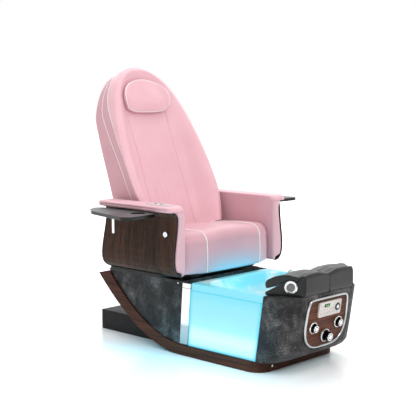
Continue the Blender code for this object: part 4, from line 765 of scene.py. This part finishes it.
def outline_path(surface, out):
    """A seam line round the backrest: up one side, over the top and down the other."""
    levels = spread(BACK_BOTTOM + 0.004, BACK_SHOULDER, 24)[:-1] + dome_levels(70)
    right = []
    for s in levels:
        sewn = back_half(s) - side_bulge(s)
        right.append((sewn + side_bulge(s) * 0.86 - out, s, surface(sewn, s)))
    path = right + [(-x, s, n) for x, s, n in reversed(right)]
    return [on_back(x, n, s) for x, s, n in path]


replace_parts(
    back_layer("back_front_pad", front_height, lambda x, s: front_seam(x, s) + 0.0003, True, pink),
    "back_cushion",
)
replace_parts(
    back_layer("back_middle_pad", lambda x, s: front_seam(x, s) - 0.0003, rear_seam, False, pink_shaded),
    "back_core",
)
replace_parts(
    back_layer("back_rear_pad", lambda x, s: rear_seam(x, s) - 0.0006, rear_height, False, pink_shaded),
    "back_shell",
)
for label, surface in (("front", front_seam), ("rear", rear_seam)):
    cord = tube("back_piping_" + label, outline_path(surface, 0.0034), 0.0034, piping_white)
    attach(cord, "backrest")


# ---- headrest

PILLOW_LOW = 0.806
PILLOW_HIGH = 0.996
PILLOW_HALF = 0.178
PILLOW_THICK = 0.046
PILLOW_BORDER = 0.026
# Rings of the face as shares of the outline, and of the border with their heights
PILLOW_FACE = (0.02, 0.15, 0.3, 0.45, 0.58, 0.7, 0.79, 0.86, 0.91, 0.945, 0.97, 0.985, 0.996)
PILLOW_SIDE = ((1.005, 0.019), (1.008, 0.014), (1.004, 0.009), (0.994, 0.004), (0.980, 0.0012))


def pillow_half(share):
    if share < 0.35:
        return PILLOW_HALF * (1 - 0.26 * (1 - share / 0.35) ** 2.4)
    return PILLOW_HALF * (1 - ((share - 0.35) / 0.65) ** 2.4) ** 0.5


def pillow_outline():
    right = [(0.0, PILLOW_LOW)]
    for share in spread(0, 1, 60):
        right.append((pillow_half(share), PILLOW_LOW + (PILLOW_HIGH - PILLOW_LOW) * share))
    loop = right + [(-x, s) for x, s in reversed(right[1:-1])]
    return relaxed(resampled([(x, s, 0) for x, s in loop], 132), 80)


def make_headrest():
    """A crowned cushion with a boxed border, piped round the edge of its face."""
    outline = pillow_outline()
    centre = Vector((0, PILLOW_LOW + 0.46 * (PILLOW_HIGH - PILLOW_LOW), 0))

    def at(point, share, height):
        place = centre + (point - centre) * share
        bed = max(front_height(place.x, place.y), -0.001)
        return on_back(place.x, bed + height, place.y)

    def crown(share):
        return PILLOW_BORDER + (PILLOW_THICK - PILLOW_BORDER) * (1 - share**2.3) ** 0.72

    rings = []
    for share in PILLOW_FACE:
        ring = []
        for p in outline:
            ripple = 0.0006 * noise.noise((p.x * 20, p.y * 20, share * 4))
            ring.append(at(p, share, crown(share) + ripple))
        rings.append(ring)
    rings.append([at(p, 1.0, PILLOW_BORDER - 0.003) for p in outline])
    for share, height in PILLOW_SIDE:
        rings.append([at(p, share, height) for p in outline])
    rings.append([at(p, 0.5, 0.0012) for p in outline])
    pillow = skin("headrest_pillow", rings, pink, sharp=75)
    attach(pillow, "backrest")
    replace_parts(pillow, "headrest")
    line = [at(p, 1.002, PILLOW_BORDER - 0.001) for p in outline]
    edge = tube("headrest_piping", line, 0.0026, piping_white, True)
    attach(edge, "backrest")


make_headrest()


# ---- seat

SEAT_HALF = 0.338
SEAT_PANEL_HALF = 0.206
SEAT_FRONT = -0.095 - SHIFT
SEAT_WING_BACK = 0.053
SEAT_REAR = 0.3275 - SHIFT
SEAT_THICK = 0.222
SEAT_CROWN = 0.016
SEAT_FALL = 0.065
SEAT_DIP = 0.030
SEAT_REAR_ROUND = 0.045
SEAT_SIDE_ROUND = 0.030


def seat_edge(x):
    x = abs(x)
    if x <= SEAT_PANEL_HALF:
        return SEAT_FRONT - 0.004 * (1 - (x / SEAT_PANEL_HALF) ** 2)
    share = (x - SEAT_PANEL_HALF) / (SEAT_HALF - SEAT_PANEL_HALF)
    return SEAT_FRONT + SEAT_WING_BACK * share**1.1


def seat_outline(x, inset):
    """The seat's section from the front's foot, over the top, to the rear's foot."""
    low = PLATE_TOP + REST_GAP
    front = seat_edge(x) + inset
    rear = SEAT_REAR - inset
    top = low + SEAT_THICK - SEAT_CROWN * (x / SEAT_HALF) ** 2 - inset
    puff = 0.0025 * math.cos(math.pi * x / SEAT_PANEL_HALF) if abs(x) < SEAT_PANEL_HALF else 0.0

    def height(y):
        start = SEAT_FRONT + 0.14
        return top + puff - SEAT_DIP * max((y - start) / (SEAT_REAR - start), 0) ** 2

    points = [(front + 0.030, low), (front + 0.010, low + 0.0015), (front + 0.003, low + 0.007)]
    for z in spread(low + 0.016, top - SEAT_FALL, 12):
        belly = 0.004 * math.sin(math.pi * (z - low) / (top - SEAT_FALL - low))
        points.append((front + 0.002 - belly, z))
    for a in spread(0, 90, 14)[1:]:
        turn = math.radians(a)
        rise = (SEAT_FALL + puff) * math.sin(turn)
        points.append((front + SEAT_FALL - SEAT_FALL * math.cos(turn), top - SEAT_FALL + rise))
    turn_back = rear - SEAT_REAR_ROUND
    points += [(y, height(y)) for y in spread(front + SEAT_FALL, turn_back, 20)[1:]]
    for turn in (math.radians(a) for a in (20, 40, 60, 80, 90)):
        drop = SEAT_REAR_ROUND * (1 - math.cos(turn))
        points.append((turn_back + SEAT_REAR_ROUND * math.sin(turn), height(rear) - drop))
    points += [(rear, z) for z in spread(height(rear) - 0.06, low + 0.02, 5)] + [(rear - 0.012, low)]
    return points


def make_seat():
    half = SEAT_HALF
    right = spread(0, SEAT_PANEL_HALF - 0.012, 26)
    right += [SEAT_PANEL_HALF + d for d in (-0.009, -0.0065, -0.004, -0.002, 0, 0.002, 0.004, 0.0065, 0.009)]
    right += spread(SEAT_PANEL_HALF + 0.013, half - SEAT_SIDE_ROUND, 14)
    right += [half - SEAT_SIDE_ROUND * (1 - math.sin(math.radians(a))) for a in (20, 38, 54, 68, 80, 88)]
    rings = []
    for x in [-x for x in reversed(right)][:-1] + right:
        edge = max(abs(x) - (half - SEAT_SIDE_ROUND), 0) / SEAT_SIDE_ROUND
        inset = 0.024 * (1 - math.sqrt(max(1 - edge**2, 0))) + 0.0042 * bell(abs(x) - SEAT_PANEL_HALF, 0.0035)
        rings.append([(x, y, z) for y, z in seat_outline(x, inset)])
    seat = skin("seat_pad", rings, seat_pink_shaded, sharp=60)
    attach(seat, "carriage")
    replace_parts(seat, "seat_cushion")
    for side, sign in (("left", 1), ("right", -1)):
        path = seat_outline(SEAT_PANEL_HALF, 0.0012)[2:-9]
        line = [(sign * SEAT_PANEL_HALF, y, z) for y, z in path]
        cord = tube("seat_piping_" + side, line, 0.0032, piping_white)
        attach(cord, "carriage")


make_seat()


# ---- arms


WALL_CORNER = 0.013
FLANGE_CORNER = 0.030
# The flange's rounding: height over its underside, how far out, and how far its ends draw in
FLANGE_RINGS = (
    (0.002, 0.0025, 0), (0.006, 0.0048, 0), (0.010, 0.0052, 0),
    (0.0125, 0.0036, 0), (0.0140, 0.0026, 0), (0.0155, 0.0036, 0),
    (0.018, 0.0054, 0), (0.022, 0.0046, 0), (0.025, 0.0020, 0.001),
    (0.0275, -0.0025, 0.004), (0.0292, -0.0085, 0.009), (0.0299, -0.018, 0.018),
    (0.0300, -0.030, 0.030),
)


def skin_line():
    """The wood's outside, top to foot, as pairs of x and z."""
    top = ARM_TOP - FLANGE_THICK - REST_GAP
    foot = PLATE_TOP + 0.001
    belly = 0.4265
    return [
        (belly - 0.0045, top + 0.005), (belly - 0.018, top - 0.012),
        (belly - 0.023, top - 0.028), (belly - 0.0225, top - 0.055),
        (belly - 0.0185, top - 0.095), (belly - 0.0105, top - 0.150),
        (belly - 0.0025, top - 0.205), (belly, foot + 0.085),
        (belly - 0.003, foot + 0.050), (belly - 0.012, foot + 0.024),
        (belly - 0.030, foot + 0.006), (belly - 0.052, foot),
    ]


def skin_x(z):
    return between(z, sorted((height, x) for x, height in skin_line()))


def skin_ends(z):
    top = skin_line()[0][1]
    foot = skin_line()[-1][1]
    front = ARM_FRONT + 0.005
    rear = ARM_REAR - 0.022 + 0.024 * (top - z) / (top - foot)
    reach = 0.045

    def corner(depth):
        if depth >= reach:
            return 0.0
        return reach - math.sqrt(max(reach**2 - (reach - depth) ** 2, 0))

    return front + corner(top - z), rear - 0.8 * corner(z - foot)


def slab(x0, x1, y0, y1, radius, z, steps=8):
    """A rounded rectangle at one height, with a soft squircle corner."""
    radius = min(radius, abs(x1 - x0) / 2.02, abs(y1 - y0) / 2.02)
    ring = []
    for cx, cy, start in ((x1, y0, -90), (x1, y1, 0), (x0, y1, 90), (x0, y0, 180)):
        mx = cx - radius * (1 if cx == x1 else -1)
        my = cy - radius * (1 if cy == y1 else -1)
        for a in spread(start, start + 90, steps):
            turn = math.radians(a)
            ring.append((mx + radius * math.cos(turn), my + radius * math.sin(turn), z))
    return ring


def roll(z):
    """How far the arm's front draws back at a height, where its top rolls over."""
    rise = z - (ARM_TOP - ARM_ROLL)
    return ARM_ROLL - math.sqrt(max(ARM_ROLL**2 - rise**2, 0)) if rise > 0 else 0.0


def make_arm(side, sign):
    """The leather arm: a wide rolled top, and a slim wall whose outside follows the wood."""
    foot = PLATE_TOP + REST_GAP
    under = ARM_TOP - FLANGE_THICK
    rings = []
    for z in (0.0, 0.003, 0.010, 0.020):
        inset = 0.012 * (1 - min(z / 0.012, 1)) ** 2
        out = min(skin_x(foot + z) - 0.0115, 0.3655 + z * 0.4)
        rings.append(slab(0.3455 + inset, out, ARM_FRONT + 0.002 + inset, ARM_REAR - inset, 0.012, foot + z))
    for z in spread(foot + 0.030, under - 0.006, 26):
        out = skin_x(z) - 0.0098
        puff = 0.0015 * math.sin(math.pi * (z - foot) / 0.33)
        rings.append(slab(ARM_INNER - puff, out, ARM_FRONT, ARM_REAR, WALL_CORNER, z))
    rings.append(slab(ARM_INNER, ARM_NECK, ARM_FRONT, ARM_REAR, WALL_CORNER, under))
    rings.append(slab(ARM_INNER, FLANGE_OUT, ARM_FRONT + 0.002, ARM_REAR, FLANGE_CORNER, under + 0.0002))
    for z, out, inset in FLANGE_RINGS:
        front = ARM_FRONT + max(roll(under + z), inset)
        rings.append(
            slab(ARM_INNER + inset, FLANGE_OUT + out, front, ARM_REAR - inset, FLANGE_CORNER, under + z)
        )
    rings = [[(sign * x, y, z) for x, y, z in ring] for ring in rings]
    pad = skin("arm_cushion_" + side, rings, arm_pink_shaded, sharp=60)
    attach(pad, "carriage")
    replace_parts(pad, "arm_pad_" + side)
    edge = []
    levels = spread(skin_line()[-1][1] + 0.0005, skin_line()[0][1] - 0.0062, 60)
    for z in levels:
        edge.append((skin_x(z) - 0.0035, skin_ends(z)[0] + 0.0008, z))
    for z in reversed(levels):
        edge.append((skin_x(z) - 0.0035, skin_ends(z)[1] - 0.0008, z))
    loop = resampled([(sign * x, y, z) for x, y, z in edge], 180)
    band = tube("arm_edging_" + side, loop, 0.0046, satin_black, True)
    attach(band, "carriage")


for hand, direction in (("left", 1), ("right", -1)):
    make_arm(hand, direction)


# ---- footrest


PAD_CROWN = 0.004
MIDDLE_DIP = 0.009
END_DIP = 0.003


def crowned(place):
    """The footrest's two pads each rise to a soft crown and dip at the middle and the ends."""
    out = abs(place.x)
    dip = MIDDLE_DIP * (1 - smooth(out / 0.085)) + END_DIP * smooth((out - 0.13) / 0.06)
    lift = PAD_CROWN * math.sin(math.pi * min(out / 0.20, 1.0))
    return Vector((place.x, place.y, place.z + (lift - dip) * smooth((place.z - 0.445) / 0.045)))


def soft_copy(node, name, voxel, puff):
    """A leather form made from a CAD solid: remeshed finely, relaxed and slightly filled out."""
    mesh = nodes[node].data.copy()
    made = bpy.data.objects.new(name, mesh)
    bpy.context.scene.collection.objects.link(made)
    remesh = made.modifiers.new("remesh", "REMESH")
    remesh.mode = "VOXEL"
    remesh.voxel_size = voxel
    relax = made.modifiers.new("relax", "SMOOTH")
    relax.factor = 0.5
    relax.iterations = 9
    graph = bpy.context.evaluated_depsgraph_get()
    formed = bpy.data.meshes.new_from_object(made.evaluated_get(graph))
    made.modifiers.clear()
    made.data = formed
    formed.materials.clear()
    formed.materials.append(black_hide)
    formed.shade_smooth()
    normals = [vertex.normal.copy() for vertex in formed.vertices]
    for vertex, normal in zip(formed.vertices, normals):
        swell = 0.5 + 0.5 * noise.noise(vertex.co * 14)
        vertex.co = crowned(vertex.co + normal * puff * (0.6 + 0.4 * swell))
    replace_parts(made, node)
    return made


base_hide = soft_copy("footrest_base", "footrest_stand_leather", 0.0035, 0.0010)
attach(base_hide, "base")
for hand in ("left", "right"):
    rest = soft_copy("footrest_pad_" + hand, "foot_pad_leather_" + hand, 0.0030, 0.0006)
    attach(rest, "foot_pad_" + hand)

FASCIA_Y = -0.7180 - SHIFT
CORNER_X = 0.1935
SEAM_TURN = ((0.0006, 0.469), (0.0030, 0.4745), (0.0065, 0.4775))
seams = (("middle", 0.0, 0.0), ("corner_left", CORNER_X, 0.0015), ("corner_right", -CORNER_X, 0.0015))
for label, x, back in seams:
    line = [(x, FASCIA_Y + back - 0.0002, z) for z in spread(0.389, 0.462, 8)]
    line += [(x, FASCIA_Y + back + step, z) for step, z in SEAM_TURN]
    stitch = tube("footrest_seam_" + label, line, 0.0017, black_thread)
    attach(stitch, "base")


def disc(name, centre, normal, radius, thick, finish, body, steps=32):
    """A thin turned disc with a rounded rim, facing along a normal."""
    turn = Vector(normal).to_track_quat("Z", "Y").to_matrix()
    rings = []
    for share, rise in ((1.0, 0.0), (1.0, 0.6), (0.94, 0.95), (0.60, 1.0), (0.05, 1.0)):
        ring = []
        for k in range(steps):
            a = 2 * math.pi * k / steps
            flat = Vector((radius * share * math.cos(a), radius * share * math.sin(a), thick * rise))
            ring.append(Vector(centre) + turn @ flat)
        rings.append(ring)
    made = skin(name, rings, finish, sharp=40)
    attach(made, body)


perforated = perforated_shaded_holes()
for hand, direction in (("left", 1), ("right", -1)):
    face = Vector((direction * 0.2287, -0.6576 - SHIFT, 0.430))
    outward = Vector((direction * 0.901, -0.434, 0.0))
    disc("pivot_mesh_" + hand, face + outward * 0.0002, outward, 0.0205, 0.0012, perforated, "base")
    dot = (direction * 0.2998, 0.010, 0.374)
    disc("shell_dot_" + hand, dot, (direction, 0, 0), 0.0042, 0.0022, mirror_chrome, "base", 12)


# ---- control panel


# The panel's outline: half width and height from its middle, from the top down
PANEL_HALF = (
    (0.000, 0.131), (0.120, 0.131), (0.152, 0.127), (0.162, 0.095),
    (0.167, 0.040), (0.168, -0.020), (0.160, -0.062), (0.142, -0.094),
    (0.108, -0.120), (0.060, -0.131), (0.000, -0.131),
)


# Steps inward from the outline and out of the panel
BOARD_EDGE = ((0.010, 0.0003), (0.010, 0.0042), (0.012, 0.0043))
TRIM_PROFILE = (
    (0.0005, 0.0004), (0.0000, 0.0050), (0.0012, 0.0085),
    (0.0040, 0.0112), (0.0070, 0.0120), (0.0096, 0.0110),
    (0.0116, 0.0082), (0.0122, 0.0045), (0.0122, 0.0004),
)


def outline_ring():
    """The panel's rounded outline: nearly upright sides and broad corners low down."""
    left = [(-x, z, 0) for x, z in PANEL_HALF]
    right = [(x, z, 0) for x, z in reversed(PANEL_HALF)]
    return relaxed(resampled(left[:-1] + right[:-1], 168), 12)


def make_panel_frame():
    loop = outline_ring()
    count = len(loop)
    sides = []
    for i in range(count):
        along = (loop[(i + 1) % count] - loop[i - 1]).normalized()
        sides.append(Vector((-along.y, along.x, 0)))

    def ring(inward, out):
        return [on_panel(*(point + side * inward).xy, out) for point, side in zip(loop, sides)]

    board = [ring(*step) for step in BOARD_EDGE]
    plate = skin("panel_board", board, panel_wood, sharp=40)
    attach(plate, "base")
    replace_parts(plate, "panel_plate")
    rings = [ring(*step) for step in TRIM_PROFILE]
    made = skin("panel_trim_ring", rings + rings[:1], frame_chrome, capped=False, sharp=50)
    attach(made, "base")
    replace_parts(made, "panel_frame")


def plaque(name, x, z, wide, tall, low, high, finish, body="base"):
    """A small flat piece with rounded edges on the panel."""
    rings = []
    for out, inset in ((low, 0.0), (high - 0.0003, 0.0), (high, 0.0004)):
        across, up = wide / 2 - inset, tall / 2 - inset
        flat = slab(x - across, x + across, z - up, z + up, 0.0012, out, 4)
        rings.append([on_panel(a, b, c) for a, b, c in flat])
    made = skin(name, rings, finish, sharp=40)
    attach(made, body)


make_panel_frame()
KEYPAD_FACE = 0.0136
DISPLAY_ROW = 0.086
KEY_ROWS = (0.066, 0.049)
KEY_FIRST = -0.062
KEY_STEP = 0.024
sunk, raised = KEYPAD_FACE - 0.0008, KEYPAD_FACE + 0.0002
plaque("display_glass", -0.018, DISPLAY_ROW, 0.042, 0.016, sunk, raised, satin_black)
green = lit_digit()
for label, x in (("left", -0.0245), ("right", -0.0115)):
    plaque("display_digit_" + label, x, DISPLAY_ROW, 0.0080, 0.0070, KEYPAD_FACE, KEYPAD_FACE + 0.0005, green)
mark = plastic("keypad_marks", (0.36, 0.30, 0.28), 0.5)
sunk, raised = KEYPAD_FACE - 0.0004, KEYPAD_FACE + 0.0004
for row, z in enumerate(KEY_ROWS):
    for column in range(5):
        x = KEY_FIRST + column * KEY_STEP
        plaque("key_mark_%d_%d" % (row, column), x, z, 0.0100, 0.0050, sunk, raised, mark)
for column, x in enumerate((-0.064, -0.050)):
    plaque("key_mark_2_%d" % column, x, DISPLAY_ROW, 0.0060, 0.0060, sunk, raised, mark)
button = on_panel(0.069, 0.068, 0.0160)
disc("button_face", button, PANEL_NORMAL, 0.0095, 0.0012, white_moulding, "panel_button", 24)


# ---- stage, light and camera


# Brightness of the surround by height, and of its panels from left to right
SKY = ((0.0, 0.20), (0.49, 0.34), (0.55, 0.44), (0.68, 0.66), (0.85, 1.36), (1.0, 1.80))
CAMERA_PLACE = (-3.89, -3.57 - SHIFT, 1.35)
CAMERA_TURN = math.radians(-46.7)
CAMERA_PITCH = math.radians(6.6)
CAMERA_LENS = 86.6
# The camera's level directions, as fixed axes for the lit panels round the object
CAMERA_AHEAD = (0.728, 0.686, 0.0)
CAMERA_RIGHT = (0.686, -0.728, 0.0)
STUDIO = (
    (0.00, 0.95), (0.16, 1.30), (0.20, 0.10), (0.34, 0.06),
    (0.38, 1.50), (0.46, 1.50), (0.50, 0.08), (0.62, 0.12),
    (0.66, 1.10), (0.80, 1.20), (0.84, 0.15), (1.00, 0.30),
)


def make_floor():
    """A wide pale floor with a faint sheen, so the object keeps a soft reflection."""
    mesh = bpy.data.meshes.new("floor")
    points = [(-30, -30), (30, -30), (30, 30), (-30, 30)]
    mesh.from_pydata([(x, y, 0) for x, y in points], [], [(0, 1, 2, 3)])
    paint = Paint("pale_floor")
    tone = paint.noise(0.8, 3)
    paint.colour(paint.ramp(tone, [(0.3, (0.90, 0.90, 0.90)), (0.7, (0.92, 0.92, 0.92))]))
    paint.rough(paint.range(paint.vector("LENGTH", paint.place), 0.18, 1.0, 1.3, 3.0))
    paint.set(Specular_IOR_Level=0.30)
    mesh.materials.append(paint.material)
    floor = bpy.data.objects.new("floor", mesh)
    bpy.context.scene.collection.objects.link(floor)


class Sky(Nodes):
    """The surround: white to the camera, a soft dome on surfaces, panels in reflections."""

    def __init__(self):
        bpy.context.scene.view_settings.view_transform = "Standard"
        world = bpy.data.worlds.new("studio")
        bpy.context.scene.world = world
        world.use_nodes = True
        super().__init__(world.node_tree)
        self.tree.nodes.clear()
        self.way = self.add("ShaderNodeTexCoord").outputs["Generated"]
        path = self.add("ShaderNodeLightPath").outputs
        up = (0, 0, 1)
        dome = self.glow(self.tones(self.toward(up), SKY))
        panels = self.tones(self.toward(CAMERA_RIGHT), STUDIO)
        ahead = self.range(self.toward(CAMERA_AHEAD), 0.0, 1.0, 0.42, 0.56)
        low = self.range(self.toward(up), 0.0, 1.0, 0.62, 0.80)
        even = self.mix(ahead, panels, (1.0, 1.0, 1.0))
        gloss = self.glow(self.mix(low, even, (0.9, 0.9, 0.9)))
        seen = self.glow(None)
        surfaces = self.choose(path["Is Glossy Ray"], dome, gloss)
        out = self.add("ShaderNodeOutputWorld")
        self.link(self.choose(path["Is Camera Ray"], surfaces, seen), out.inputs["Surface"])

    def toward(self, axis):
        """How far a direction leans along an axis, from 0 to 1."""
        return self.range(self.vector("DOT_PRODUCT", self.way, axis), 0.0, 1.0, -1.0, 1.0)

    def tones(self, value, stops):
        return self.ramp(value, [(place, (tone, tone, tone)) for place, tone in stops])

    def glow(self, colour):
        back = self.add("ShaderNodeBackground")
        back.inputs["Color"].default_value = (1, 1, 1, 1)
        if colour:
            self.link(colour, back.inputs["Color"])
        return back.outputs[0]

    def choose(self, fac, first, second):
        blend = self.add("ShaderNodeMixShader")
        for socket, value in enumerate((fac, first, second)):
            self.link(value, blend.inputs[socket])
        return blend.outputs[0]


def area(name, place, target, size, power, colour=(1, 1, 1)):
    light = bpy.data.lights.new(name, "AREA")
    light.shape = "RECTANGLE"
    light.size, light.size_y = size
    light.energy = power
    light.color = colour
    made = bpy.data.objects.new(name, light)
    made.location = place
    made.rotation_euler = (Vector(target) - Vector(place)).to_track_quat("-Z", "Y").to_euler()
    bpy.context.scene.collection.objects.link(made)


def make_camera():
    camera = bpy.data.cameras.new("camera")
    camera.sensor_width = 36
    camera.lens = CAMERA_LENS
    made = bpy.data.objects.new("camera", camera)
    made.location = CAMERA_PLACE
    flat = math.cos(CAMERA_PITCH)
    ahead = Vector((-math.sin(CAMERA_TURN) * flat, math.cos(CAMERA_TURN) * flat, -math.sin(CAMERA_PITCH)))
    made.rotation_euler = ahead.to_track_quat("-Z", "Y").to_euler()
    bpy.context.scene.collection.objects.link(made)
    bpy.context.scene.camera = made


make_floor()
Sky()
area("key", (-1.2, -4.6, 3.6), (0, 0, 0.7), (1.8, 1.8), 75)
area("far_floor", (6.0, 6.0, 6.0), (6.0, 6.0, 0.0), (12.0, 12.0), 700)
area("basin_glow", (0, -0.26 - SHIFT, 0.345), (0, -0.02, 0.60), (0.34, 0.20), 0.32, (0.10, 0.72, 1.0))
area("floor_glow", (-0.66, -0.12, 0.24), (-0.66, -0.12, 0.0), (0.34, 0.95), 3.6, (0.02, 0.72, 1.0))
make_camera()
